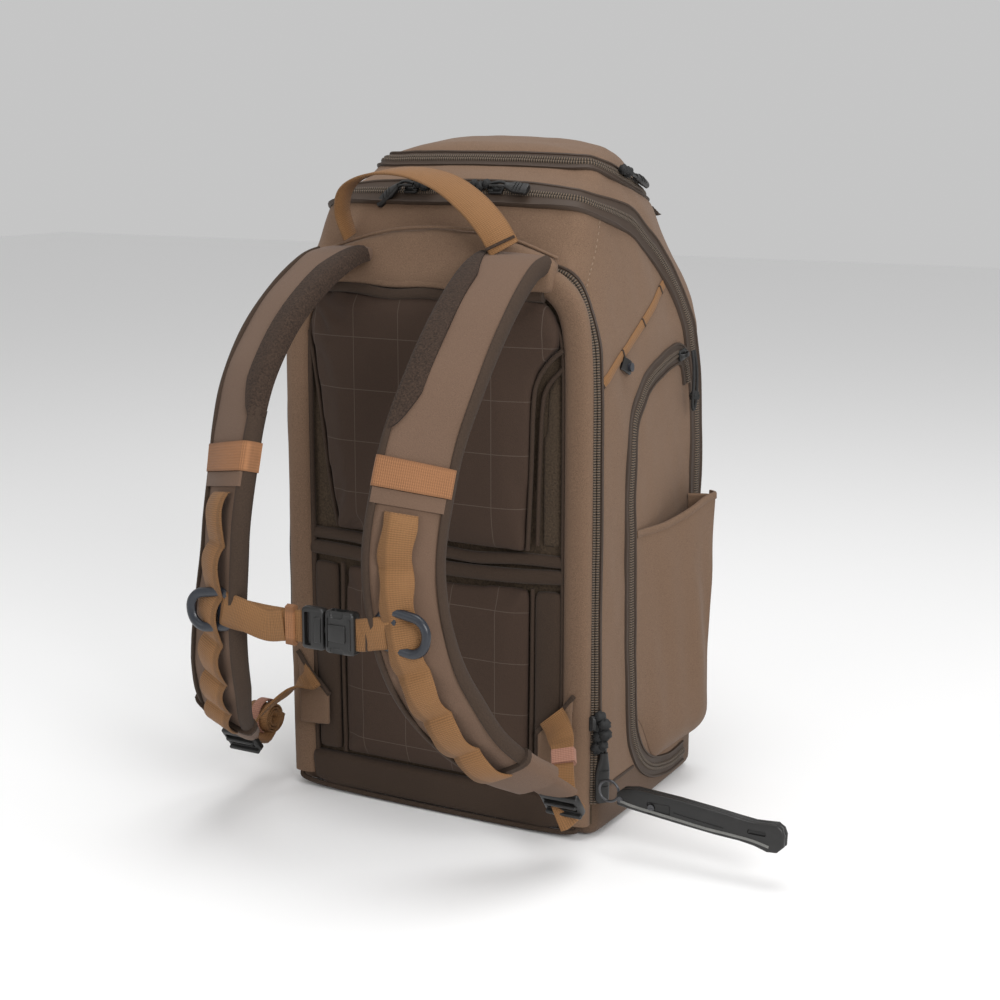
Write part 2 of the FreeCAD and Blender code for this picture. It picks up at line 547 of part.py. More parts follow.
for word, side in (("right", 1), ("left", -1)):
    part(block(f"side_slider_{word}", "half_w+tape+0.4", "54", "door_top_z-1", "slider_t",
               "slider_len", "slider_w", side))
    DROP = [
        ("half_w+tape+2.1+slider_t", "58.6", "door_top_z+3"),
        ("half_w+tape+4+slider_t", "58.2", "door_top_z-6"),
        ("half_w+tape+4.6+slider_t", "57.8", "door_top_z-19"),
        ("half_w+tape+4+slider_t", "58", "door_top_z-33"),
        ("half_w+tape+3+slider_t", "58.6", "door_top_z-44"),
        ("half_w+tape+2.8+slider_t", "62", "door_top_z-49"),
        ("half_w+tape+3.2+slider_t", "65.2", "door_top_z-44"),
        ("half_w+tape+4.2+slider_t", "64.6", "door_top_z-33"),
        ("half_w+tape+4.8+slider_t", "64", "door_top_z-19"),
        ("half_w+tape+4.2+slider_t", "63", "door_top_z-6"),
        ("half_w+tape+2.1+slider_t", "62.4", "door_top_z+3"),
    ]
    part(cord_tube(f"side_pull_{word}", DROP, "cord_d", side))

# --- ring and sheathed tool hanging from the rear pull ---
ring = doc.addObject("Part::Torus", "tool_ring")
ring.setExpression("Radius1", cell("ring_rad"))
ring.setExpression("Radius2", cell("ring_wire/2"))
ring.Placement.Rotation = FreeCAD.Rotation(FreeCAD.Vector(1, 0, 0), 90)
ring.setExpression("Placement.Base.x", cell("tool_x-ring_rad-5"))
ring.setExpression("Placement.Base.y", cell("tool_y+4"))
ring.setExpression("Placement.Base.z", cell("tool_z"))
part(ring)
SHEATH = [
    ("tool_x", "tool_z-6"), ("tool_x", "tool_z+6"), ("tool_x+16", "tool_z+9"),
    ("tool_x+100", "tool_z+1"), ("tool_x+tool_len-8", "tool_z-6"), ("tool_x+tool_len", "tool_z-12"),
    ("tool_x+tool_len-6", "tool_z-19"), ("tool_x+tool_len-34", "tool_z-21"),
    ("tool_x+56", "tool_z-17"), ("tool_x+12", "tool_z-10"),
]
part(prism("sheath_near", "XZ_Plane", SHEATH, "tool_y-tool_t/2", "tool_t/2"))
part(prism("sheath_far", "XZ_Plane", SHEATH, "tool_y", "tool_t/2"))
screws = cylinder("sheath_screw", "screw_rad", "screw_h", "tool_x+30", "tool_y-tool_t",
                  "tool_z-2", (0, -1, 0))
part(screws)

# --- check every object, then write one file per node ---
doc.recompute()
for item in doc.Objects:
    if "Invalid" in item.State or "Error" in item.State:
        raise SystemExit(f"{item.Label} did not build")
for label, piece in nodes.items():
    if piece.Shape.isNull() or not piece.Shape.isValid() or piece.Shape.Volume < 1:
        raise SystemExit(f"{label} has no valid shape")

os.makedirs("parts", exist_ok=True)
for label, piece in nodes.items():
    piece.Shape.exportStep(f"parts/{label}.step")
    box = piece.Shape.BoundBox
    print(label, len(piece.Shape.Solids), round(piece.Shape.Volume),
          [round(edge, 1) for edge in (box.XMin, box.XMax, box.YMin, box.YMax, box.ZMin, box.ZMax)])
print(len(nodes), "nodes")
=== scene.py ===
# %% [markdown]
# A hunting daypack is sewn cloth over foam, closed by long zips and carried by a padded harness.
# The imported model is loaded first, as the fixed frame that every visible piece is fitted to.
# The cloth may stand only a little proud of it.

import math

import bmesh
import bpy
from mathutils import Matrix, Vector
from mathutils import noise as field
from mathutils.bvhtree import BVHTree


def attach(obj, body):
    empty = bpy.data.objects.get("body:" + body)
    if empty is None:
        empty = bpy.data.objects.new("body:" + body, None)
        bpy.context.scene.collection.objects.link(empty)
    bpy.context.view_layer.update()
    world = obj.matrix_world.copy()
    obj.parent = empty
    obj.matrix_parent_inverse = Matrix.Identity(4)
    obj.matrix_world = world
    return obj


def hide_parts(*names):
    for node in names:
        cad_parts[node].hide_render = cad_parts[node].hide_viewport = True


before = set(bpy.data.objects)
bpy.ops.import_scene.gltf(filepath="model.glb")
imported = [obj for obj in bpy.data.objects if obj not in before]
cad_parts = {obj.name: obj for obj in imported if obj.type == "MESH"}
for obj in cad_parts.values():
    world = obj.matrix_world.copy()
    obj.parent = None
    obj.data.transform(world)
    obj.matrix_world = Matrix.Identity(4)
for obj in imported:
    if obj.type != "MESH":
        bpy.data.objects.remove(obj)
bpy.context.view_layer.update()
bpy.ops.object.select_all(action="DESELECT")

# %% [markdown]
# The camera stands to the right of the harness side, a little above the top of the pack.
# A long lens keeps the perspective mild, as in a studio picture of a product.

# %% Camera
bpy.ops.object.camera_add(location=(0.777, -1.366, 0.571),
                          rotation=(math.radians(78.4), 0, math.radians(29.5)))
camera = bpy.context.object
camera.name = "camera"
camera.data.lens = 66.6
camera.data.sensor_width = 36
camera.data.clip_start = 0.05
bpy.context.scene.camera = camera
bpy.context.scene.view_settings.view_transform = "Standard"
print("camera at", tuple(round(x, 3) for x in camera.location))

# %% [markdown]
# Soft studio light: one broad key from the right of the camera, a weak fill from the left and
# a large one overhead, over a pale floor, so that dark plastic keeps its edges.

# %% Floor and light
bpy.ops.mesh.primitive_plane_add(size=12, location=(0, 0, -0.0006))
floor = bpy.context.object
floor.name = "studio_floor"


def plain_finish(name, colour, roughness):
    """A one-colour finish for the studio, not for the object."""
    finish = bpy.data.materials.new(name)
    finish.use_nodes = True
    shader = finish.node_tree.nodes["Principled BSDF"]
    shader.inputs["Base Color"].default_value = (*colour, 1)
    shader.inputs["Roughness"].default_value = roughness
    return finish


floor.data.materials.append(plain_finish("studio_paper", (0.93, 0.93, 0.93), 0.9))
world = bpy.data.worlds.new("studio")
bpy.context.scene.world = world
world.use_nodes = True
world.node_tree.nodes["Background"].inputs["Color"].default_value = (1, 1, 1, 1)
world.node_tree.nodes["Background"].inputs["Strength"].default_value = 0.56


def soft_light(name, place, aim, size, power):
    """An area light at a place, turned towards a point."""
    bpy.ops.object.light_add(type="AREA", location=place)
    lamp = bpy.context.object
    lamp.name = name
    lamp.data.size = size
    lamp.data.energy = power
    lamp.rotation_euler = (Vector(aim) - Vector(place)).to_track_quat("-Z", "Y").to_euler()
    return lamp


soft_light("key", (2.0, -1.5, 1.3), (0, 0, 0.3), 1.0, 36)
soft_light("fill", (-0.9, -2.1, 1.2), (0, 0, 0.25), 1.4, 6)
soft_light("top", (0.3, -0.2, 2.2), (0, 0, 0.3), 1.4, 22)

# %% [markdown]
# Woven pack cloth has a fine speckle of lighter and darker yarns, slow changes of tone where it
# has been handled, and a dry sheen. The same recipe serves every cloth, with its own colours.
# Patterns read object coordinates, so they stay on the cloth in every view.

# %% Cloth finishes
MM = 0.001


def mixed(nodes, links, factor, low, high):
    """A colour mix driven by a factor socket."""
    mix = nodes.new("ShaderNodeMix")
    mix.data_type = "RGBA"
    links.new(factor, mix.inputs[0])
    for socket, colour in ((mix.inputs[6], low), (mix.inputs[7], high)):
        if isinstance(colour, tuple):
            socket.default_value = (*colour, 1)
        else:
            links.new(colour, socket)
    return mix.outputs[2]


def noise(nodes, links, vector, scale, detail=2.0):
    """A noise factor at a scale per metre."""
    texture = nodes.new("ShaderNodeTexNoise")
    texture.inputs["Scale"].default_value = scale
    texture.inputs["Detail"].default_value = detail
    links.new(vector, texture.inputs["Vector"])
    return texture.outputs["Fac"]


def ramp(nodes, links, factor, low, high):
    """Stretch a factor so that low maps to 0 and high maps to 1."""
    curve = nodes.new("ShaderNodeMapRange")
    curve.inputs["From Min"].default_value = low
    curve.inputs["From Max"].default_value = high
    links.new(factor, curve.inputs["Value"])
    return curve.outputs["Result"]


def maths(nodes, links, kind, first, second=None):
    """One arithmetic step on sockets or numbers."""
    step = nodes.new("ShaderNodeMath")
    step.operation = kind
    for socket, item in zip(step.inputs, (first, second)):
        if item is None:
            continue
        if isinstance(item, (int, float)):
            socket.default_value = item
        else:
            links.new(item, socket)
    return step.outputs[0]


def raised(nodes, links, shader, height, strength, distance):
    """Bump from a height socket."""
    bump = nodes.new("ShaderNodeBump")
    bump.inputs["Strength"].default_value = strength
    bump.inputs["Distance"].default_value = distance
    links.new(height, bump.inputs["Height"])
    links.new(bump.outputs["Normal"], shader.inputs["Normal"])


def cloth_finish(name, colour, speck=0.75, yarn=1300, slub=260, roughness=0.9, sheen=0.06,
                 bump=0.35, grid=None):
    """Woven cloth: speckled yarns, faint slubs, slow tone changes and a dry sheen."""
    finish = bpy.data.materials.new(name)
    finish.use_nodes = True
    nodes = finish.node_tree.nodes
    links = finish.node_tree.links
    shader = nodes["Principled BSDF"]
    where = nodes.new("ShaderNodeTexCoord").outputs["Object"]
    stretch = nodes.new("ShaderNodeMapping")
    stretch.inputs["Scale"].default_value = (1, 1, 5)
    links.new(where, stretch.inputs["Vector"])
    fine = noise(nodes, links, where, yarn, 1.0)
    slubs = noise(nodes, links, stretch.outputs["Vector"], slub, 2.0)
    tone = noise(nodes, links, where, 9, 3.0)
    dark = tuple(channel * speck for channel in colour)
    light = tuple(min(channel * (2 - speck), 1) for channel in colour)
    yarns = mixed(nodes, links, ramp(nodes, links, fine, 0.34, 0.66), dark, light)
    shade = mixed(nodes, links, ramp(nodes, links, slubs, 0.3, 0.75), yarns, colour)
    worn = tuple(channel * 1.14 for channel in colour)
    face = mixed(nodes, links, ramp(nodes, links, tone, 0.45, 1.1), shade, worn)
    if grid:
        face = printed_grid(nodes, links, where, face, grid)
    links.new(face, shader.inputs["Base Color"])
    shader.inputs["Roughness"].default_value = roughness
    shader.inputs["Sheen Weight"].default_value = sheen
    shader.inputs["Sheen Roughness"].default_value = 0.5
    shader.inputs["Specular IOR Level"].default_value = 0.25
    raised(nodes, links, shader, fine, bump, 0.0006)
    return finish


def printed_grid(nodes, links, where, face, pitch):
    """Thin pale guide lines, a plain measuring grid printed on the foam."""
    split = nodes.new("ShaderNodeSeparateXYZ")
    links.new(where, split.inputs[0])
    lines = None
    for socket, shift in ((split.outputs["X"], 0.013), (split.outputs["Z"], 0.021)):
        moved = maths(nodes, links, "ADD", socket, 1 + shift)
        part = maths(nodes, links, "FRACT", maths(nodes, links, "DIVIDE", moved, pitch))
        near = maths(nodes, links, "LESS_THAN", part, 0.0006 / pitch)
        lines = near if lines is None else maths(nodes, links, "MAXIMUM", lines, near)
    soft = maths(nodes, links, "MULTIPLY", lines, 0.22)
    return mixed(nodes, links, soft, face, (0.22, 0.18, 0.15))


brown = cloth_finish("brown_pack_cloth", (0.150, 0.092, 0.058))
strap_brown = cloth_finish("strap_face_cloth", (0.128, 0.079, 0.053), speck=0.86)
dark_brown = cloth_finish("dark_brown_cloth", (0.042, 0.026, 0.017), speck=0.8)
# The boot is the same brown cloth as the sides; this darker copy is painted shade on the base of
# the bag.
boot_brown_painted_shade = cloth_finish("boot_cloth", (0.092, 0.057, 0.037), speck=0.72)
pad_brown = cloth_finish("printed_pad_facing", (0.048, 0.029, 0.020), speck=0.92, sheen=0.03,
                         grid=0.043)
channel_brown = cloth_finish("air_mesh", (0.054, 0.036, 0.022), speck=0.55, yarn=620, bump=0.7)
mesh_dark = cloth_finish("strap_lining_mesh", (0.036, 0.022, 0.015), speck=0.45, yarn=700, bump=0.8,
                         sheen=0.02)
binding = cloth_finish("edge_binding", (0.044, 0.028, 0.019), speck=0.8, yarn=900, sheen=0.02)
print("cloths", len(bpy.data.materials))

# %% [markdown]
# Webbing is woven across its length in narrow ribs, with firm edges. Its pattern follows the
# strap wherever it bends, so it reads a UV map laid out in metres: along, then across.
# Zip tape uses the same map, with the coil's teeth along its inner edge.

# %% Webbing and zip finishes


def webbing_finish(name, colour, rib=1.5, roughness=0.72, edge=0.0125):
    """Ribbed webbing with slightly darker edges."""
    finish = bpy.data.materials.new(name)
    finish.use_nodes = True
    nodes = finish.node_tree.nodes
    links = finish.node_tree.links
    shader = nodes["Principled BSDF"]
    layout = nodes.new("ShaderNodeUVMap")
    layout.uv_map = "along"
    split = nodes.new("ShaderNodeSeparateXYZ")
    links.new(layout.outputs["UV"], split.inputs[0])
    wave = maths(nodes, links, "SINE",
                 maths(nodes, links, "MULTIPLY", split.outputs["X"], 2 * math.pi / (rib * MM)))
    cross = maths(nodes, links, "SINE",
                  maths(nodes, links, "MULTIPLY", split.outputs["Y"], 2 * math.pi / (2.1 * MM)))
    weave = maths(nodes, links, "ADD", wave, maths(nodes, links, "MULTIPLY", cross, 0.4))
    level = ramp(nodes, links, weave, -1.2, 1.2)
    where = nodes.new("ShaderNodeTexCoord").outputs["Object"]
    blotch = noise(nodes, links, where, 70, 3.0)
    dark = tuple(channel * 0.70 for channel in colour)
    light = tuple(min(channel * 1.18, 1) for channel in colour)
    ribs = mixed(nodes, links, level, dark, light)
    face = mixed(nodes, links, ramp(nodes, links, blotch, 0.35, 0.9), ribs, colour)
    rim = ramp(nodes, links, maths(nodes, links, "ABSOLUTE", split.outputs["Y"]),
               edge - 0.002, edge)
    links.new(mixed(nodes, links, rim, face, dark), shader.inputs["Base Color"])
    shader.inputs["Roughness"].default_value = roughness
    shader.inputs["Sheen Weight"].default_value = 0.05
    shader.inputs["Specular IOR Level"].default_value = 0.3
    raised(nodes, links, shader, level, 0.7, 0.0004)
    return finish


def zip_finish(name, colour, tooth):
    """Zip tape: a ribbed cloth strip whose inner edge carries the coil's teeth."""
    finish = bpy.data.materials.new(name)
    finish.use_nodes = True
    nodes = finish.node_tree.nodes
    links = finish.node_tree.links
    shader = nodes["Principled BSDF"]
    layout = nodes.new("ShaderNodeUVMap")
    layout.uv_map = "along"
    split = nodes.new("ShaderNodeSeparateXYZ")
    links.new(layout.outputs["UV"], split.inputs[0])
    teeth = maths(nodes, links, "SINE",
                  maths(nodes, links, "MULTIPLY", split.outputs["X"], 2 * math.pi / (2.1 * MM)))
    ribs = maths(nodes, links, "SINE",
                 maths(nodes, links, "MULTIPLY", split.outputs["Y"], 2 * math.pi / (1.3 * MM)))
    coil = maths(nodes, links, "LESS_THAN",
                 maths(nodes, links, "ABSOLUTE", split.outputs["Y"]), 0.0031)
    level = ramp(nodes, links, teeth, -1, 1)
    tape = mixed(nodes, links, ramp(nodes, links, ribs, -1, 1),
                 tuple(channel * 0.75 for channel in colour), colour)
    metal = mixed(nodes, links, level, (0.012, 0.010, 0.008), tooth)
    links.new(mixed(nodes, links, coil, tape, metal), shader.inputs["Base Color"])
    shader.inputs["Roughness"].default_value = 0.62
    shader.inputs["Specular IOR Level"].default_value = 0.4
    height = maths(nodes, links, "MULTIPLY", level, coil)
    raised(nodes, links, shader, height, 0.9, 0.0009)
    return finish


coyote = webbing_finish("coyote_webbing", (0.215, 0.104, 0.038))
coyote_elastic = webbing_finish("coyote_elastic", (0.270, 0.122, 0.052), rib=1.6, edge=0.0110)
rose_elastic = webbing_finish("keeper_elastic", (0.330, 0.160, 0.110), rib=1.7)
zip_tape = zip_finish("zip_tape_dark", (0.050, 0.031, 0.020), (0.150, 0.105, 0.070))
print("woven finishes", len(bpy.data.materials))

# %% [markdown]
# Moulded plastic is matt black with a faint spark-eroded grain, polished on worn high spots.
# Steel parts are blackened. Cord is a braid, so its finish has fine crossing strands.

# %% Hard finishes


def hard_finish(name, colour, roughness, grain=2600, metal=0.0, bump=0.12):
    """Moulded or plated surface with a fine grain and patches of wear."""
    finish = bpy.data.materials.new(name)
    finish.use_nodes = True
    nodes = finish.node_tree.nodes
    links = finish.node_tree.links
    shader = nodes["Principled BSDF"]
    where = nodes.new("ShaderNodeTexCoord").outputs["Object"]
    fine = noise(nodes, links, where, grain, 1.0)
    wear = noise(nodes, links, where, 85, 3.0)
    lighter = tuple(channel * 1.7 + 0.004 for channel in colour)
    face = mixed(nodes, links, ramp(nodes, links, wear, 0.5, 0.95), colour, lighter)
    links.new(face, shader.inputs["Base Color"])
    rough = nodes.new("ShaderNodeMapRange")
    rough.inputs["To Min"].default_value = roughness - 0.08
    rough.inputs["To Max"].default_value = roughness + 0.12
    links.new(wear, rough.inputs["Value"])
    links.new(rough.outputs["Result"], shader.inputs["Roughness"])
    shader.inputs["Metallic"].default_value = metal
    raised(nodes, links, shader, fine, bump, 0.0003)
    return finish


black = hard_finish("black_nylon", (0.009, 0.0085, 0.008), 0.40)
blue_black = hard_finish("dark_acetal", (0.014, 0.017, 0.024), 0.30)
cord_black = hard_finish("black_braid", (0.010, 0.010, 0.010), 0.70, grain=900, bump=0.7)
steel = hard_finish("blackened_steel", (0.10, 0.10, 0.105), 0.34, metal=1.0)
# This pale grey finish is a painted highlight: the light caught along the sheath's lower bevel.
sheath_highlight_grey = hard_finish("sheath_bevel_painted_highlight", (0.150, 0.148, 0.138), 0.38)
print("hard finishes", len(bpy.data.materials))

# %% [markdown]
# Webbing, zips, piping and straps are all bands: one cross-section carried along a route while
# its face keeps looking a given way. A band is laid out as rows of points, because a
# pushed-out primitive can't hold the width while the strap turns in two directions at once.

# %% Bands along a route


def eased(points, steps):
    """A smooth line through the points (Catmull-Rom), with steps per stretch."""
    ends = [points[0] * 2 - points[1]] + list(points) + [points[-1] * 2 - points[-2]]
    line = []
    for a, b, c, d in zip(ends, ends[1:], ends[2:], ends[3:]):
        for step in range(steps):
            t = step / steps
            line.append(0.5 * ((2 * b) + (c - a) * t + (2 * a - 5 * b + 4 * c - d) * t * t
                               + (3 * b - a - 3 * c + d) * t ** 3))
    line.append(Vector(points[-1]))
    return line


def keep_mesh(name, verts, faces, uvs=None):
    """A new object from points and faces, with an optional UV map called along."""
    mesh = bpy.data.meshes.new(name)
    mesh.from_pydata(verts, [], faces)
    if uvs is not None:
        layer = mesh.uv_layers.new(name="along")
        for loop in mesh.loops:
            layer.data[loop.index].uv = uvs[loop.vertex_index]
    mesh.update()
    piece = bpy.data.objects.new(name, mesh)
    bpy.context.collection.objects.link(piece)
    return piece


def mend(piece, merge=0.00001):
    """Merge doubled points and turn the faces outwards."""
    work = bmesh.new()
    work.from_mesh(piece.data)
    bmesh.ops.remove_doubles(work, verts=work.verts, dist=merge)
    bmesh.ops.recalc_face_normals(work, faces=work.faces)
    work.to_mesh(piece.data)
    work.free()
    return piece


def band(name, route, looks, section, steps=8, widths=None, loop=False, lifts=None):
    """Carry a closed section of (across, up) points along a route whose face looks a given way.

    widths scales the section across its width at each route point; lifts raises each sample.
    """
    route = [Vector(point) for point in route]
    looks = [Vector(look) for look in (looks if len(looks) > 3 or not isinstance(
        looks[0], (int, float)) else [looks] * len(route))]
    line = eased(route, steps)
    normals = eased(looks, steps)
    scale = [Vector((width, 0, 0)) for width in (widths or [1] * len(route))]
    scale = [item.x for item in eased(scale, steps)]
    verts, uvs, travelled = [], [], 0.0
    count = len(section)
    for index, place in enumerate(line):
        ahead = line[min(index + 1, len(line) - 1)]
        behind = line[max(index - 1, 0)]
        if loop and index in (0, len(line) - 1):
            ahead, behind = line[1], line[-2]
        along = (ahead - behind).normalized()
        up = (normals[index] - along * normals[index].dot(along)).normalized()
        across = along.cross(up).normalized()
        if index:
            travelled += (place - line[index - 1]).length
        lift = lifts(travelled) if lifts else 0.0
        for side, height in section:
            verts.append(place + across * side * scale[index] + up * (height + lift))
            uvs.append((travelled, side * scale[index]))
    faces = []
    rows = len(line)
    for row in range(rows - 1):
        for item in range(count):
            following = (item + 1) % count
            faces.append((row * count + item, row * count + following,
                          (row + 1) * count + following, (row + 1) * count + item))
    if not loop:
        faces.append(tuple(range(count))[::-1])
        faces.append(tuple((rows - 1) * count + item for item in range(count)))
    return mend(keep_mesh(name, verts, faces, uvs))


def flat_section(width, thickness, low=0.0):
    """A webbing section: flat, with its edges eased."""
    half = width / 2
    rim = thickness * 0.35
    return [(-half, low + rim), (-half + rim, low), (half - rim, low), (half, low + rim),
            (half, low + thickness - rim), (half - rim, low + thickness),
            (-half + rim, low + thickness), (-half, low + thickness - rim)]


def crowned_section(width, low, high, points=10, power=2.6):
    """A padded section: rounded edges and a crowned face above and below."""
    half = width / 2
    middle = (low + high) / 2
    tall = (high - low) / 2
    section = []
    for step in range(points * 2):
        turn = math.pi * 2 * step / (points * 2)
        cos, sin = math.cos(turn), math.sin(turn)
        section.append((half * math.copysign(abs(cos) ** (2 / power), cos),
                        middle + tall * math.copysign(abs(sin) ** (2 / power), sin)))
    return section


def round_section(radius, points=8, low=0.0, across=0.0):
    """A cord or piping section."""
    return [(across + radius * math.cos(2 * math.pi * step / points),
             low + radius * math.sin(2 * math.pi * step / points)) for step in range(points)]


def finish_piece(piece, finish, body, smooth=40, stands_for=()):
    """Give a piece its finish, its body and its smooth shading."""
    piece.data.materials.clear()
    piece.data.materials.append(finish)
    bpy.ops.object.select_all(action="DESELECT")
    piece.select_set(True)
    bpy.context.view_layer.objects.active = piece
    bpy.ops.object.shade_smooth_by_angle(angle=math.radians(smooth))
    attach(piece, body)
    if stands_for:
        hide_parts(*stands_for)
    return piece


print("band helper ready")

# %% [markdown]
# The side zips are pulled by a doubled black cord. It leaves the slider, falls under its own
# weight and folds back, so it is one smooth line of the cord's real length.

# %% Side pull cords
DROP = [
    (0.1563, 0.0586, 0.3820), (0.1582, 0.0582, 0.3730), (0.1588, 0.0578, 0.3600),
    (0.1582, 0.0580, 0.3460), (0.1572, 0.0586, 0.3350), (0.1570, 0.0620, 0.3300),
    (0.1574, 0.0652, 0.3350), (0.1584, 0.0646, 0.3460), (0.1590, 0.0640, 0.3600),
    (0.1584, 0.0630, 0.3730), (0.1563, 0.0624, 0.3820),
]
knots = []
for word, side in (("right", 1), ("left", -1)):
    curve = bpy.data.curves.new(f"side_cord_{word}", "CURVE")
    curve.dimensions = "3D"
    spline = curve.splines.new("NURBS")
    spline.points.add(len(DROP) - 1)
    for point, place in zip(spline.points, DROP):
        point.co = (place[0] * side, place[1], place[2], 1)
    spline.order_u = 3
    spline.use_endpoint_u = True
    curve.bevel_depth = 0.0013
    curve.bevel_resolution = 4
    curve.materials.append(cord_black)
    cord = bpy.data.objects.new(f"side_cord_{word}", curve)
    bpy.context.collection.objects.link(cord)
    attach(cord, f"side_tab_{word}")
    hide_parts(f"side_pull_{word}")
    bpy.ops.mesh.primitive_uv_sphere_add(segments=20, ring_count=12, radius=0.0044,
                                         location=(0.1578 * side, 0.0618, 0.343))
    knot = bpy.context.object
    knot.name = f"side_knot_{word}"
    bpy.ops.object.transform_apply(location=True, rotation=False, scale=False)
    for vertex in knot.data.vertices:
        wrap = 1 + 0.16 * math.sin(vertex.co.z * 2600 + vertex.co.y * 1400)
        centre = Vector((0.1578 * side, 0.0618, 0.343))
        vertex.co = centre + (vertex.co - centre) * wrap
    finish_piece(knot, cord_black, f"side_tab_{word}", 60)
    knots.append(knot)
print("side cords", len(knots))

# %% [markdown]
# The case is one tailored bag before it is cut by its zips. It starts as the side outline pushed
# across the width, its flanks are cut back towards the lid, and its corners are rounded.
# A fine even mesh then takes the slack and the small creases that cloth has between its seams.

# %% The uncut case
SIDE_LINE = [
    (-0.100, 0.0), (-0.100, 0.462), (-0.074, 0.517), (-0.030, 0.537), (-0.018, 0.553),
    (0.035, 0.560), (0.088, 0.545), (0.110, 0.505), (0.110, 0.0),
]


def pushed_outline(name, corners, x_low, x_high):
    """A closed block: an outline in Y and Z pushed along X."""
    bpy.ops.object.select_all(action="DESELECT")
    verts = [(x_low, y, z) for y, z in corners]
    block = keep_mesh(name, verts, [tuple(range(len(corners)))])
    block.select_set(True)
    bpy.context.view_layer.objects.active = block
    bpy.ops.object.mode_set(mode="EDIT")
    bpy.ops.mesh.select_all(action="SELECT")
    bpy.ops.mesh.extrude_region_move(TRANSFORM_OT_translate={"value": (x_high - x_low, 0, 0)})
    bpy.ops.mesh.select_all(action="SELECT")
    bpy.ops.mesh.normals_make_consistent(inside=False)
    bpy.ops.object.mode_set(mode="OBJECT")
    return block


def apply_all(piece):
    """Apply every modifier on a piece, in order."""
    bpy.ops.object.select_all(action="DESELECT")
    piece.select_set(True)
    bpy.context.view_layer.objects.active = piece
    for modifier in list(piece.modifiers):
        bpy.ops.object.modifier_apply(modifier=modifier.name)
    return piece


def side_width(z):
    """The half width of the case at a height."""
    stops = [(0, 0.148), (0.400, 0.148), (0.500, 0.128), (0.536, 0.110), (0.562, 0.094)]
    for (low, wide), (high, narrow) in zip(stops, stops[1:]):
        if z <= high:
            return wide + (narrow - wide) * (z - low) / (high - low)
    return stops[-1][1]


def smooth_step(value):
    """Ease a number from 0 to 1."""
    value = min(max(value, 0), 1)
    return value * value * (3 - 2 * value)


case = pushed_outline("case_blank", SIDE_LINE, -0.148, 0.148)
bpy.ops.object.mode_set(mode="EDIT")
for side in (1, -1):
    for low, high in (((0.148, 0.400), (0.128, 0.500)), ((0.128, 0.500), (0.110, 0.536)),
                      ((0.110, 0.536), (0.094, 0.562))):
        slope = Vector((high[0] - low[0], 0, high[1] - low[1]))
        outward = Vector((slope.z * side, 0, -slope.x))
        bpy.ops.mesh.select_all(action="SELECT")
        bpy.ops.mesh.bisect(plane_co=(low[0] * side, 0, low[1]), plane_no=outward,
                            use_fill=True, clear_outer=True)
bpy.ops.object.mode_set(mode="OBJECT")
corner = case.modifiers.new("corner", "BEVEL")
corner.width = 0.013
corner.segments = 4
corner.limit_method = "ANGLE"
corner.angle_limit = math.radians(25)
apply_all(case)
even = case.modifiers.new("even", "REMESH")
even.mode = "VOXEL"
even.voxel_size = 0.0042
apply_all(case)
print("case blank", len(case.data.vertices), "points")

# %% [markdown]
# Cloth held at seams sags between them. Broad soft hollows come first, then shallow drag lines
# that fan from the shoulder of the bag down its sides, then small puckers near the zips.

# %% Slack and creases
def slack(place, normal):
    """How far the cloth stands in or out at a place, in metres."""
    broad = field.noise(place * 9.0 + Vector((3.1, 0.7, 5.3))) * 0.0030
    drag = field.noise(Vector((place.x * 11, place.y * 34 + place.z * 15, place.z * 9))) * 0.0016
    fine = field.noise(Vector((place.x * 60, place.y * 75, place.z * 38))) * 0.0006
    side = min(abs(normal.x) * 1.3, 1)
    belly = 0.0035 * math.sin(min(max(place.z / 0.4, 0), 1) * math.pi) * side
    flat = 1 - min(max((0.03 - place.z) / 0.03, 0), 1)
    rear = 0.25 if normal.y < -0.7 and place.z < 0.46 else 1
    return (broad + drag * side + fine + belly - 0.0015) * flat * rear


def domed(place):
    """Round the crown's corners in plan, narrow its front and let its sides drop."""
    x, y, z = place
    across = min(abs(x) / side_width(z), 1)
    along = min(max((y - 0.005) / 0.1, -1), 1)
    crown = smooth_step((z - 0.40) / 0.13)
    corner = across ** 5 * abs(along) ** 5 * crown
    front = max(along, 0)
    slim = 1 - 0.035 * front - 0.15 * front * smooth_step((z - 0.42) / 0.12)
    x = x * slim - math.copysign(0.022 * corner, x)
    y = y - math.copysign(0.012 * corner, along)
    z = z - 0.011 * across ** 3 * smooth_step((z - 0.49) / 0.05)
    return Vector((x, y, z))


for vertex in case.data.vertices:
    vertex.co = domed(vertex.co)
case.data.update()
normals = [vertex.normal.copy() for vertex in case.data.vertices]
for vertex, normal in zip(case.data.vertices, normals):
    vertex.co = vertex.co + normal * slack(vertex.co.copy(), normal)
    vertex.co.z = max(vertex.co.z, 0.0)
soften = case.modifiers.new("soften", "SMOOTH")
soften.factor = 0.5
soften.iterations = 3
apply_all(case)
case.data.update()
work = bmesh.new()
work.from_mesh(case.data)
case_skin = BVHTree.FromBMesh(work)
work.free()
wall = case.modifiers.new("wall", "SOLIDIFY")
wall.thickness = 0.004
wall.offset = -1
apply_all(case)
print("case wall", len(case.data.polygons), "faces")
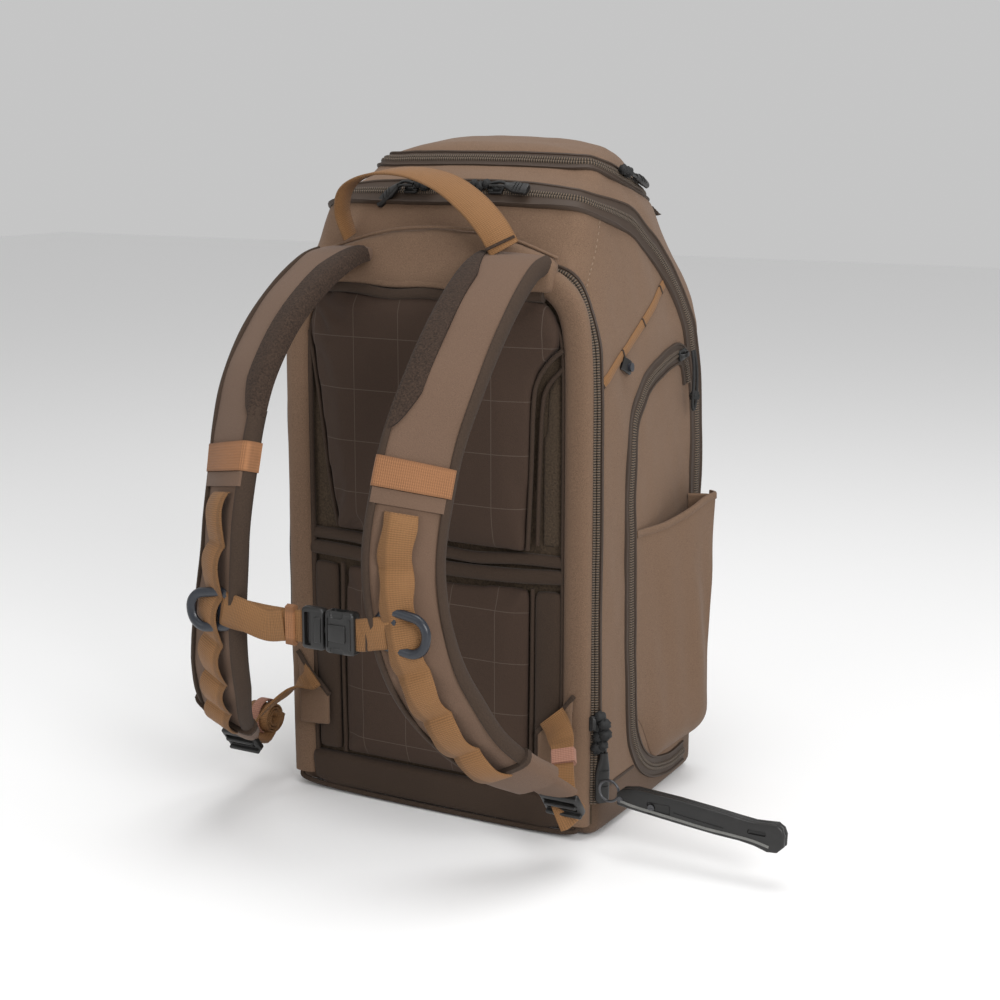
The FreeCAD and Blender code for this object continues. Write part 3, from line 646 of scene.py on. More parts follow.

# %% [markdown]
# Each panel is the part of the case inside one zip line, so neighbours match across the gap.
# The lines are listed as easy curves, as the real zips are sewn in easy curves.

# %% Cut the panels
FLAP_LINE = [
    (-0.086, 0.530), (-0.088, 0.600), (0.140, 0.600), (0.140, 0.045), (0.094, 0.045),
    (0.094, 0.336), (0.084, 0.388), (0.071, 0.424), (0.042, 0.461), (-0.004, 0.492),
    (-0.066, 0.509),
]
LID_LINE = [
    (-0.104, 0.562), (-0.104, 0.600), (0.140, 0.600), (0.140, 0.493), (0.110, 0.500),
    (-0.040, 0.543),
]
DOOR_LINE = [
    (0.084, 0.020), (0.044, 0.020), (0.002, 0.032), (-0.028, 0.060), (-0.039, 0.097),
    (-0.042, 0.200), (-0.042, 0.312), (-0.032, 0.343), (0.000, 0.367), (0.066, 0.379),
    (0.076, 0.352), (0.084, 0.300),
]
PANEL_LINE = [
    (-0.1445, 0.012), (-0.1445, 0.395), (-0.139, 0.430), (-0.125, 0.449), (-0.100, 0.457),
    (0.100, 0.457), (0.125, 0.449), (0.139, 0.430), (0.1445, 0.395), (0.1445, 0.012),
]


def cookie(name, corners, low, high, facing="side"):
    """A cutting block: facing side it runs along X, facing back it runs along Y."""
    block = pushed_outline(name, corners, low, high)
    if facing == "back":
        for vertex in block.data.vertices:
            x, y, z = vertex.co
            vertex.co = (y, x, z)
        mend(block)
    return block


def cut_with(base, cutter, keep_inside, name):
    """A copy of base kept inside or outside a cutting block."""
    piece = base.copy()
    piece.data = base.data.copy()
    piece.name = name
    bpy.context.collection.objects.link(piece)
    knife = piece.modifiers.new("cut", "BOOLEAN")
    knife.operation = "INTERSECT" if keep_inside else "DIFFERENCE"
    knife.solver = "EXACT"
    knife.object = cutter
    apply_all(piece)
    return piece


flap_block = cookie("flap_block", FLAP_LINE, -0.2, 0.2)
lid_block = cookie("lid_block", LID_LINE, -0.2, 0.2)
door_blocks = {"right": cookie("door_block_r", DOOR_LINE, 0.12, 0.2),
               "left": cookie("door_block_l", DOOR_LINE, -0.2, -0.12)}
panel_block = cookie("panel_block", PANEL_LINE, -0.115, -0.088, "back")
front_whole = cut_with(case, flap_block, True, "front_whole")
front = cut_with(front_whole, lid_block, False, "front_cloth")
lid = cut_with(front_whole, lid_block, True, "lid_cloth")
shell = cut_with(case, flap_block, False, "shell_one")
for word in ("right", "left"):
    following = cut_with(shell, door_blocks[word], False, f"shell_{word}")
    bpy.data.objects.remove(shell)
    shell = following
boot_block = cookie("boot_block", [(-0.2, -0.05), (-0.2, 0.040), (0.2, 0.040), (0.2, -0.05)],
                    -0.25, 0.25)
following = cut_with(shell, panel_block, False, "shell_whole")
bpy.data.objects.remove(shell)
shell_whole = following
shell = cut_with(shell_whole, boot_block, False, "shell_cloth")
boot = cut_with(shell_whole, boot_block, True, "boot_cloth")
doors = {word: cut_with(case, door_blocks[word], True, f"door_cloth_{word}")
         for word in ("right", "left")}
back = cut_with(case, panel_block, True, "back_cloth")
finish_piece(shell, brown, "pack", 50, ["main_shell"])
# The boot's darker cloth is painted shade on the base of the bag.
finish_piece(boot, boot_brown_painted_shade, "pack", 50, ["base_boot"])
finish_piece(front, brown, "front_flap", 50, ["front_panel"])
finish_piece(lid, brown, "lid", 50, ["lid_panel"])
for word in ("right", "left"):
    finish_piece(doors[word], brown, f"side_door_{word}", 50,
                 [f"door_panel_{word}"])
finish_piece(back, channel_brown, "back_panel", 50, ["rear_panel"])
for scrap in (front_whole, shell_whole, case, flap_block, lid_block, boot_block, panel_block,
              *door_blocks.values()):
    bpy.data.objects.remove(scrap)
print("panels", [len(piece.data.polygons) for piece in (shell, boot, front, lid, back)])

# %% [markdown]
# A zip is two tapes, one sewn to each side of the opening, with the coil between them. Each half
# goes with its own panel, so the zip parts when the panel opens. The line of the opening is laid
# on the surface of the case, and the tape follows the cloth there.

# %% Zips


def on_case(place):
    """The nearest place on the cloth and the way it faces there."""
    return case_skin.find_nearest(Vector(place))[:2]


def laid(points, steps=5):
    """A smooth line of places and facings on the cloth."""
    line = eased([Vector(point) for point in points], steps)
    return settled([on_case(point) for point in line])


def side_hits(side, corners, steps):
    """Places on one flank where a line of (y, z) corners meets the cloth."""
    line = eased([Vector((side * 0.3, y, z)) for y, z in corners], steps)
    return [case_skin.ray_cast(point, Vector((-side, 0, 0)))[:2] for point in line]


def cross_hits(widths, start, ahead):
    """Places over the top where a sloping cut meets the cloth, one for each x."""
    hits = [case_skin.ray_cast(Vector((x, *start)), Vector((0, *ahead)).normalized())[:2]
            for x in widths]
    return [hit for hit in hits if hit[0] is not None]


def settled(pairs):
    """Smooth a line of hits a little, as a sewn tape does, and lay it back on the cloth."""
    places = [pairs[0][0]]
    for spot, facing in pairs[1:]:
        count = max(int((spot - places[-1]).length / 0.004), 1)
        start = places[-1]
        places += [start.lerp(spot, step / count) for step in range(1, count + 1)]
    for turn in range(6):
        places = [places[0]] + [(a + b * 2 + c) / 4 for a, b, c in
                                zip(places, places[1:], places[2:])] + [places[-1]]
        places = [on_case(place)[0] for place in places]
    facings = [on_case(place)[1] for place in places]
    for turn in range(8):
        facings = [facings[0]] + [((a + b * 2 + c) / 4).normalized() for a, b, c in
                                  zip(facings, facings[1:], facings[2:])] + [facings[-1]]
    return places, facings


def half_zip(name, line, side, width, body, stands_for=()):
    """One tape of a zip: raised coil at its inner edge, flat tape, and a sewn hem."""
    places, facings = line
    near = 0.00025 * side
    section = [(near, -0.0012), (near, 0.0024), (0.0012 * side, 0.0030), (0.0026 * side, 0.0026),
               (0.0031 * side, 0.0014), (0.0036 * side, 0.0012),
               ((width - 0.0022) * side, 0.0010), ((width - 0.0018) * side, 0.0020),
               ((width - 0.0006) * side, 0.0021), (width * side, 0.0010), (width * side, -0.0016)]
    piece = band(name, places, facings, section, steps=1)
    return finish_piece(piece, zip_tape, body, 50, stands_for)


MAIN_SIDE = [(0.094, 0.052), (0.094, 0.130), (0.094, 0.220), (0.094, 0.300), (0.093, 0.345),
             (0.084, 0.388), (0.071, 0.424), (0.042, 0.461), (0.019, 0.4765), (-0.004, 0.492),
             (-0.035, 0.5005), (-0.058, 0.5068)]
right_half = side_hits(1, MAIN_SIDE, 6)
wide = right_half[-1][0].x - 0.006
brow = cross_hits([wide * (1 - step / 12) for step in range(25)], (-0.106, 0.5505),
                  (0.040, -0.0415))
left_half = side_hits(-1, MAIN_SIDE, 6)
main_line = settled(right_half + brow + left_half[::-1])
half_zip("main_zip_case_half", main_line, 1, 0.0125, "pack", ["main_zip_tape"])
half_zip("main_zip_front_half", main_line, -1, 0.0125, "front_flap")
for word, side in (("right", 1), ("left", -1)):
    door_line = settled(side_hits(side, DOOR_LINE[0:11], 5))
    outside = 1 if side > 0 else -1
    half_zip(f"side_zip_case_half_{word}", door_line, -outside, 0.0095, "pack",
             ["side_zip_tapes"] if side > 0 else ())
    half_zip(f"side_zip_door_half_{word}", door_line, outside, 0.0095, f"side_door_{word}")
lid_side = [(y, 0.543 - (y + 0.040) * 0.2867) for y in (0.096, 0.075, 0.045, 0.015, -0.005)]
right_half = side_hits(1, lid_side, 6)
wide = right_half[-1][0].x - 0.008
brow = cross_hits([wide * (1 - step / 12) for step in range(25)], (-0.104, 0.562),
                  (0.064, -0.019))
left_half = side_hits(-1, lid_side, 6)
lid_line = settled([pair for pair in right_half + brow + left_half[::-1] if pair[0] is not None])
half_zip("lid_zip_front_half", lid_line, 1, 0.0085, "front_flap")
half_zip("lid_zip_lid_half", lid_line, -1, 0.0085, "lid")
REAR_RISE = [(0.1475, 0.030), (0.1475, 0.120), (0.1475, 0.210), (0.1475, 0.300),
             (0.1470, 0.385), (0.1410, 0.430), (0.1260, 0.451), (0.1000, 0.459)]
rear_points = [(x, -0.1005, z) for x, z in REAR_RISE]
rear_points += [(x, -0.101, 0.459) for x in (0.05, 0.0, -0.05)]
rear_points += [(-x, -0.1005, z) for x, z in reversed(REAR_RISE)]
rear_line = laid(rear_points, 6)
half_zip("rear_zip_case_half", rear_line, -1, 0.0085, "pack", ["rear_zip_tape"])
half_zip("rear_zip_panel_half", rear_line, 1, 0.0060, "back_panel")
for word, side in (("right", 1), ("left", -1)):
    seam = settled(side_hits(side, [(-0.088, 0.0402), (-0.060, 0.0402), (-0.027, 0.0402)], 5))
    finish_piece(band(f"boot_seam_{word}", *seam, flat_section(0.0030, 0.0012, -0.0003), steps=1),
                 dark_brown, "pack", 50)
print("zips laid")

# %% [markdown]
# A rolled border of face cloth runs up both sides of the back panel and over its top.
# It is a firm cord of foam under cloth, so it stays nearly the same height all round.

# %% Rolled border and foot of the back panel
BORDER = [(0.1320, 0.012), (0.1325, 0.060), (0.1325, 0.150), (0.1325, 0.250), (0.1325, 0.340),
          (0.1315, 0.392), (0.1260, 0.425), (0.1140, 0.442), (0.0970, 0.4485)]
border_route = [(x, -0.0975, z) for x, z in BORDER]
border_route += [(x, -0.0975, 0.449) for x in (0.05, 0.0, -0.05)]
border_route += [(-x, -0.0975, z) for x, z in reversed(BORDER)]
border = band("back_border", border_route, (0, -1, 0), crowned_section(0.0235, -0.004, 0.0115, 9,
                                                                      2.3), steps=8)
finish_piece(border, brown, "back_panel", 60)
inner_cord = band("back_border_cord",
                  [(x - math.copysign(0.0125, x) * min(abs(x) / 0.1, 1), y, z - (
                      0.0115 if z > 0.41 else 0)) for x, y, z in border_route],
                  (0, -1, 0), round_section(0.0022, 8, 0.0055), steps=8)
finish_piece(inner_cord, binding, "back_panel", 60)


def soft_block(name, corners, near, far, voxel, soften, facing="back", edge=0.004):
    """A soft solid from an outline: pushed out, rounded, meshed evenly and relaxed."""
    block = pushed_outline(name, corners, near, far)
    if facing == "back":
        for vertex in block.data.vertices:
            x, y, z = vertex.co
            vertex.co = (y, x, z)
        mend(block)
    corner = block.modifiers.new("corner", "BEVEL")
    corner.width = edge
    corner.segments = 3
    even = block.modifiers.new("even", "REMESH")
    even.mode = "VOXEL"
    even.voxel_size = voxel
    ease = block.modifiers.new("ease", "SMOOTH")
    ease.factor = 0.5
    ease.iterations = soften
    return apply_all(block)


foot_line = [(-0.122, 0.0035), (-0.104, -0.001), (0.104, -0.001), (0.122, 0.0035),
             (0.125, 0.030), (-0.125, 0.030)]
foot = soft_block("back_foot_roll", [(x, z + 0.004) for x, z in foot_line], -0.1085, -0.0965,
                  0.003, 6)
finish_piece(foot, dark_brown, "back_panel", 60)
foot_cord = band("back_foot_cord", [(-0.140, -0.100, 0.030), (-0.136, -0.104, 0.014),
                                    (-0.120, -0.107, 0.0045), (0.0, -0.108, 0.0025),
                                    (0.120, -0.107, 0.0045), (0.136, -0.104, 0.014),
                                    (0.140, -0.100, 0.030)], (0, -1, 0),
                 round_section(0.0022, 8), steps=10)
finish_piece(foot_cord, binding, "back_panel", 60)
print("border", len(border.data.polygons))

# %% [markdown]
# The back pads are cloth sewn over foam. Each one starts as its flat outline, and a short cloth
# simulation lets it swell against its seams. The seam at the panel is pinned, and the swelling
# is held to a few millimetres, as firm foam would hold it.

# %% Back pads


def swollen(name, corners, near, far, pressure, limit, finish, stands_for=()):
    """A pad from an outline, swelled by a short cloth simulation."""
    pad = soft_block(name, corners, near, far, 0.0048, 2, edge=0.003)
    before = [vertex.co.copy() for vertex in pad.data.vertices]
    base = near if near > far else far
    seam = pad.vertex_groups.new(name="seam")
    seam.add([item.index for item in pad.data.vertices if item.co.y > base - 0.004], 1.0,
             "REPLACE")
    cloth = pad.modifiers.new("swell", "CLOTH")
    cloth.settings.use_pressure = True
    cloth.settings.uniform_pressure_force = pressure
    cloth.settings.vertex_group_mass = "seam"
    cloth.settings.effector_weights.gravity = 0
    cloth.settings.tension_stiffness = 18
    cloth.settings.bending_stiffness = 1.2
    cloth.settings.quality = 5
    cloth.collision_settings.use_collision = False
    cloth.point_cache.frame_start = 1
    cloth.point_cache.frame_end = 20
    scene = bpy.context.scene
    for step in range(1, 21):
        scene.frame_set(step)
    bpy.ops.object.select_all(action="DESELECT")
    pad.select_set(True)
    bpy.context.view_layer.objects.active = pad
    bpy.ops.object.modifier_apply(modifier="swell")
    scene.frame_set(1)
    for vertex, start in zip(pad.data.vertices, before):
        move = vertex.co - start
        if move.length > limit:
            vertex.co = start + move.normalized() * limit
    pad.vertex_groups.clear()
    fine = pad.modifiers.new("fine", "SUBSURF")
    fine.levels = 1
    apply_all(pad)
    finish_piece(pad, finish, "back_panel", 60, stands_for)
    return pad


UPPER_PAD = [(-0.092, 0.234), (0.088, 0.234), (0.092, 0.300), (0.0935, 0.360), (0.099, 0.380),
             (0.116, 0.398), (0.117, 0.412), (0.108, 0.430), (0.090, 0.439), (-0.090, 0.439),
             (-0.110, 0.430), (-0.118, 0.412), (-0.117, 0.398), (-0.108, 0.340), (-0.100, 0.280)]
LOW_PAD = [(-0.088, 0.036), (0.088, 0.036), (0.090, 0.120), (0.091, 0.203), (0.0, 0.200),
           (-0.086, 0.203), (-0.088, 0.120)]
upper_pad = swollen("upper_pad", UPPER_PAD, -0.0975, -0.1125, 4.0, 0.005, pad_brown,
                    ["upper_back_pad"])
low_pad = swollen("lumbar_cushion", LOW_PAD, -0.0975, -0.1080, 4.0, 0.004, pad_brown,
                  ["lumbar_pad"])
for word, side in (("right", 1), ("left", -1)):
    low_side = [(0.093, 0.036), (0.118, 0.036), (0.1205, 0.120), (0.1205, 0.206),
                (0.0945, 0.203), (0.0935, 0.120)]
    swollen(f"lumbar_side_{word}", [(x * side, z) for x, z in low_side], -0.0975, -0.1060, 3.0,
            0.003, dark_brown)
    if side > 0:
        channel_low, channel_high = 0.0985, 0.1205
        channel = [(channel_low, 0.236), (channel_high, 0.236), (0.1205, 0.340),
                   (0.119, 0.388), (0.106, 0.374), (0.1005, 0.352)]
        swollen(f"air_channel_{word}", channel, -0.0970, -0.1015, 3.0, 0.002, channel_brown)
print("pads", len(upper_pad.data.polygons), len(low_pad.data.polygons))

# %% [markdown]
# Piping finishes the seams of the pads. Between the upper and lower pads the facing dips
# into two soft folds, and the same folds show below the yoke. There the lower fold is dark, painted
# shade under the yoke.

# %% Piping and folds of the back panel
for name, route in (
        ("upper_pad_piping", [(0.0905, 0.236), (0.0935, 0.300), (0.0955, 0.355), (0.100, 0.374),
                              (0.110, 0.388), (0.1205, 0.397)]),
        ("channel_piping", [(0.0970, 0.240), (0.0985, 0.300), (0.1010, 0.350), (0.106, 0.368),
                            (0.1205, 0.384)]),
        ("upper_pad_piping_left", [(-0.0940, 0.236), (-0.1020, 0.280), (-0.1100, 0.340),
                                   (-0.1195, 0.400)]),
        ("lumbar_piping_right", [(0.0915, 0.036), (0.0925, 0.120), (0.0930, 0.204)]),
        ("lumbar_piping_left", [(-0.0900, 0.036), (-0.0910, 0.120), (-0.0900, 0.204)])):
    deep = 0.108 if name == "upper_pad_piping" else 0.1035
    pipe = band(name, [(x, -deep, z) for x, z in route], (0, -1, 0), round_section(0.0019, 8),
                steps=8)
    finish_piece(pipe, binding, "back_panel", 60)
FOLDS = (("waist_fold_low", 0.2115, 0.0060, 0.1055, 0.121, dark_brown),
         ("waist_fold_high", 0.2245, 0.0050, 0.1045, 0.121, dark_brown),
         # neck_fold_low is dark as painted shade under the yoke; neck_fold_high is the same fold in
         # plain brown.
         ("neck_fold_low", 0.4350, 0.0045, 0.1125, 0.104, dark_brown),
         ("neck_fold_high", 0.4440, 0.0045, 0.1110, 0.104, brown))
for name, level, thick, deep, reach, finish in FOLDS:
    route = [(x * reach, -deep + 0.003 * abs(x) ** 3, level + 0.004 * abs(x) ** 2 + 0.0012 *
              math.sin(9 * x + level * 90)) for x in (-1, -0.66, -0.33, 0, 0.33, 0.66, 1)]
    fold = band(name, route, (0, -1, 0.15), crowned_section(thick * 2, -0.006, thick * 0.6, 8),
                steps=8)
    finish_piece(fold, finish, "back_panel", 60)
sleeve = soft_block("water_sleeve_cloth", [(-0.111, 0.061), (0.111, 0.061), (0.111, 0.409),
                                           (-0.111, 0.409)], -0.0905, -0.0885, 0.0016, 0,
                    edge=0.0005)
slim = sleeve.modifiers.new("slim", "DECIMATE")
slim.ratio = 0.08
apply_all(sleeve)
finish_piece(sleeve, dark_brown, "back_panel", 30, ["water_sleeve"])
floor_line = [(-0.028, 0.512), (0.060, 0.505), (0.098, 0.490), (0.101, 0.492), (0.062, 0.508),
              (-0.028, 0.516)]
pocket_floor = soft_block("top_pocket_cloth", floor_line, -0.108, 0.108, 0.0024, 1, "side",
                          0.0006)
finish_piece(pocket_floor, dark_brown, "front_flap", 30, ["top_pocket_floor"])
print("folds", len(FOLDS))

# %% [markdown]
# A yoke joins the two shoulder straps across the top of the panel. Its upper edge arches a
# little over the grab handle's foot.

# %% Yoke
YOKE_TOP = [(-0.113, 0.462), (-0.078, 0.474), (-0.040, 0.4835), (0.0, 0.487), (0.040, 0.4855),
            (0.078, 0.478), (0.113, 0.466)]
yoke_line = [(-0.113, 0.440), *YOKE_TOP, (0.113, 0.440)]
yoke = soft_block("yoke_cloth", yoke_line, -0.1140, -0.0985, 0.0034, 8)
for vertex in yoke.data.vertices:
    lean = max(vertex.co.z - 0.452, 0)
    vertex.co.y += lean * 0.28 - 0.0012 * field.noise(vertex.co * 45)
finish_piece(yoke, brown, "back_panel", 60, ["yoke"])
yoke_hem = band("yoke_hem", [(x, -0.1015, z + 0.001) for x, z in YOKE_TOP], (0, -0.3, 1),
                round_section(0.0013, 8), steps=6)
finish_piece(yoke_hem, brown, "back_panel", 60)
print("yoke", len(yoke.data.polygons))

# %% [markdown]
# The shoulder straps leave the yoke, rise over the wearer's shoulders and come back to the
# foot of the panel. Everything sewn to a strap is placed by its distance down the strap and its
# distance across it, so that it follows every bend.

# %% Strap frames
STATIONS = [
    ((0.080, -0.104, 0.464), (0.05, -0.30, 1.00)), ((0.081, -0.130, 0.460), (0.12, -0.38, 0.92)),
    ((0.084, -0.165, 0.442), (0.20, -0.55, 0.84)), ((0.0865, -0.202, 0.413), (0.28, -0.68, 0.73)),
    ((0.086, -0.232, 0.378), (0.36, -0.82, 0.54)), ((0.083, -0.251, 0.345), (0.41, -0.86, 0.37)),
    ((0.081, -0.2625, 0.312), (0.45, -0.88, 0.26)), ((0.080, -0.273, 0.275), (0.46, -0.89, 0.14)),
    ((0.081, -0.276, 0.245), (0.45, -0.90, 0.0)), ((0.086, -0.275, 0.210), (0.42, -0.92, -0.13)),
    ((0.094, -0.268, 0.175), (0.36, -0.92, -0.30)),
    ((0.105, -0.254, 0.144), (0.27, -0.90, -0.40)),
    ((0.118, -0.236, 0.116), (0.18, -0.86, -0.46)),
    ((0.131, -0.214, 0.0955), (0.10, -0.82, -0.46)),
    ((0.1435, -0.190, 0.0800), (0.04, -0.84, -0.42)),
]


def strap_rows(side, steps=6):
    """Places, directions across and up, and distance travelled, down one strap."""
    line = eased([Vector((x * side, y, z)) for (x, y, z), look in STATIONS], steps)
    looks = eased([Vector((x * side, y, z)) for place, (x, y, z) in STATIONS], steps)
    rows, travelled = [], 0.0
    for index, place in enumerate(line):
        ahead = line[min(index + 1, len(line) - 1)]
        behind = line[max(index - 1, 0)]
        along = (ahead - behind).normalized()
        up = (looks[index] - along * looks[index].dot(along)).normalized()
        out = up.cross(along).normalized() * side
        if out.x * side < 0:
            out = -out
        if index:
            travelled += (place - line[index - 1]).length
        rows.append((place, out, up, travelled))
    return rows


STRAPS = {"right": strap_rows(1), "left": strap_rows(-1)}
LENGTH = STRAPS["right"][-1][3]


def at_row(rows, distance):
    """The place and directions a given distance down a strap."""
    for (a, out_a, up_a, low), (b, out_b, up_b, high) in zip(rows, rows[1:]):
        if distance <= high:
            part = (distance - low) / max(high - low, 1e-9)
            return (a.lerp(b, part), out_a.lerp(out_b, part).normalized(),
                    up_a.lerp(up_b, part).normalized())
    return rows[-1][:3]


def strip(name, rows, start, stop, shape, step=0.004, crosswise=False):
    """A piece laid along a strap. shape(distance) gives its section as (across, up) points.

    Across is measured outwards from the strap's middle line, away from the wearer's neck.
    """
    count = max(int(round((stop - start) / step)), 1)
    verts, uvs, faces = [], [], []
    for index in range(count + 1):
        distance = start + (stop - start) * index / count
        place, out, up = at_row(rows, distance)
        section = shape(distance)
        for across, height in section:
            verts.append(place + out * across + up * height)
            middle = (start + stop) / 2
            uvs.append((across, distance - middle) if crosswise else (distance, across))
    size = len(section)
    for row in range(count):
        for item in range(size):
            following = (item + 1) % size
            faces.append((row * size + item, row * size + following,
                          (row + 1) * size + following, (row + 1) * size + item))
    faces.append(tuple(range(size)))
    faces.append(tuple(count * size + item for item in range(size)))
    return mend(keep_mesh(name, verts, faces, uvs))


def slab(left, right, low, high):
    """A flat section from left to right with eased upper corners."""
    rim = min((high - low) * 0.45, 0.0008)
    return [(left, low), (right, low), (right, high - rim), (right - rim, high),
            (left + rim, high), (left, high - rim)]


print("strap length", round(LENGTH, 3))
print([round(row[3], 3) for row in STRAPS["right"][::6]])

# %% [markdown]
# The strap itself is a padded band with a crowned face. A ribbed binding wraps both edges.
# The upper inner side is faced with open mesh that ends in a scallop, and an elastic
# band and a stitched strip cross the face below it.

# %% Padded straps
HALF = 0.0292


def strap_shape(distance):
    """The padded section, narrowing a little towards its foot."""
    part = min(max((distance - LENGTH + 0.10) / 0.10, 0), 1)
    wide = HALF * (1 - 0.24 * part)
    tall = 0.0068 - 0.0020 * part
    soft = 0.0005 * math.sin(distance * 95) + 0.0004 * math.sin(distance * 37 + 1)
    return [(across, height + (soft if height > 0 else 0))
            for across, height in crowned_section(wide * 2, -tall, tall, 12, 3.4)]


def edge_shape(sign):
    """A binding tape wrapped over one edge."""
    def shape(distance):
        part = min(max((distance - LENGTH + 0.10) / 0.10, 0), 1)
        wide = HALF * (1 - 0.24 * part)
        tall = 0.0068 - 0.0020 * part
        return [(sign * (wide - 0.0052 + across), height) for across, height in (
            (0.0, tall * 0.55), (0.0, tall + 0.0004), (0.0010, tall + 0.0010),
            (0.0036, tall + 0.0002), (0.0058, tall * 0.62), (0.0066, 0.0),
            (0.0058, -tall * 0.62), (0.0036, -tall - 0.0002), (0.0010, -tall - 0.0006),
            (0.0, -tall * 0.55))]
    return shape


def mesh_shape(distance):
    """The mesh facing over the inner side of the strap: wide above, scalloped at its end."""
    grow = min(distance / 0.05, 1)
    end = min(max((MESH_END - distance) / 0.030, 0), 1) ** 0.5
    outer = -HALF + 0.0015 + (0.004 + 0.0125 * grow) * end
    return [(-HALF - 0.0009, -0.0050), (-HALF - 0.0014, 0.0), (-HALF - 0.0004, 0.0050),
            (-HALF + 0.0030, 0.0078), (max(outer, -HALF + 0.0035), 0.0084),
            (max(outer, -HALF + 0.0035) + 0.0004, 0.0060), (-HALF + 0.0030, 0.0),
            (-HALF + 0.0020, -0.0050)]


MESH_END = 0.196
for word in ("right", "left"):
    rows = STRAPS[word]
    strap = strip(f"strap_{word}", rows, 0.0, LENGTH, strap_shape, 0.0040)
    finish_piece(strap, strap_brown, "back_panel", 60,
                 [f"shoulder_strap_{word}"])
    outer_edge = strip(f"strap_edge_out_{word}", rows, 0.004, LENGTH - 0.004, edge_shape(1))
    inner_edge = strip(f"strap_edge_in_{word}", rows, MESH_END - 0.006, LENGTH - 0.004,
                       edge_shape(-1))
    finish_piece(outer_edge, binding, "back_panel", 60)
    finish_piece(inner_edge, binding, "back_panel", 60)
    lining = strip(f"strap_mesh_{word}", rows, 0.012, MESH_END, mesh_shape, 0.0030)
    finish_piece(lining, mesh_dark, "back_panel", 60)
    stretch = strip(f"strap_band_{word}", rows, 0.214, 0.236,
                    lambda distance: [(-HALF - 0.0012, -0.0068), (HALF - 0.0002, -0.0068),
                                      (HALF + 0.0010, 0.0), (HALF - 0.0004, 0.0062),
                                      (HALF - 0.0030, 0.0086), (0.0, 0.0092),
                                      (-HALF + 0.0030, 0.0086), (-HALF - 0.0006, 0.0062),
                                      (-HALF - 0.0018, 0.0)], 0.0037, True)
    finish_piece(stretch, coyote_elastic, "back_panel", 60,
                 ["elastic_bands"] if word == "right" else ())
    tuck = strip(f"strap_tuck_{word}", rows, 0.2365, 0.2475,
                 lambda distance: slab(-HALF + 0.0006, HALF - 0.0030, 0.0, 0.0078), 0.002)
    finish_piece(tuck, strap_brown, "back_panel", 60)
print("straps done")

# %% [markdown]
# A ladder of tan webbing is tacked down each strap every 38 mm and left a little long between
# the tacks, so it stands up in small waves. One wave passes over the sternum slider.

# %% Daisy chains
PITCH = 0.0378
CHAIN_START = 0.2520


def chain_lift(distance):
    """How far the webbing stands off the strap between its tacks."""
    part = ((distance - CHAIN_START) % PITCH) / PITCH
    number = int((distance - CHAIN_START) / PITCH)
    tall = (0.0050, 0.0058, 0.0062, 0.0062, 0.0066, 0.0060, 0.0056, 0.0040)[min(number, 7)]
    wave = math.sin(math.pi * part ** 0.8) ** 0.8
    return 0.0006 + tall * wave


def chain_shape(distance):
    """The webbing's section, which sways a little from side to side between tacks."""
    part = ((distance - CHAIN_START) % PITCH) / PITCH
    sway = 0.0012 * math.sin(2 * math.pi * part)
    lift = 0.0068 + chain_lift(distance)
    return slab(-0.0170 + sway, 0.0080 + sway, lift, lift + 0.0018)


CHAIN_END = LENGTH - 0.031
for word in ("right", "left"):
    rows = STRAPS[word]
    chain = strip(f"chain_{word}", rows, CHAIN_START, CHAIN_END, chain_shape, 0.0022)
    finish_piece(chain, coyote, "back_panel", 50, [f"daisy_chain_{word}"])
    tacks = []
    tack = CHAIN_START + 0.0012
    while tack < CHAIN_END:
        for thread in range(8):
            left = -0.0168 + thread * 0.0031
            tacks.append(strip("tack", rows, tack - 0.0007, tack + 0.0009,
                               lambda distance, left=left: slab(left, left + 0.0021, 0.0085,
                                                                0.0098), 0.0016))
        tack += PITCH
    bpy.ops.object.select_all(action="DESELECT")
    for item in tacks:
        item.select_set(True)
    bpy.context.view_layer.objects.active = tacks[0]
    bpy.ops.object.join()
    tacks[0].name = f"chain_tacks_{word}"
    finish_piece(tacks[0], dark_brown, "back_panel", 30)
print("chain from", CHAIN_START, "to", round(CHAIN_END, 3))

# %% [markdown]
# Each strap ends in a sewn cap that holds the adjuster, and tan webbing runs from a wing at
# the foot of the panel to the adjuster. The right tail hangs, and the left one is rolled
# up in an elastic keeper.

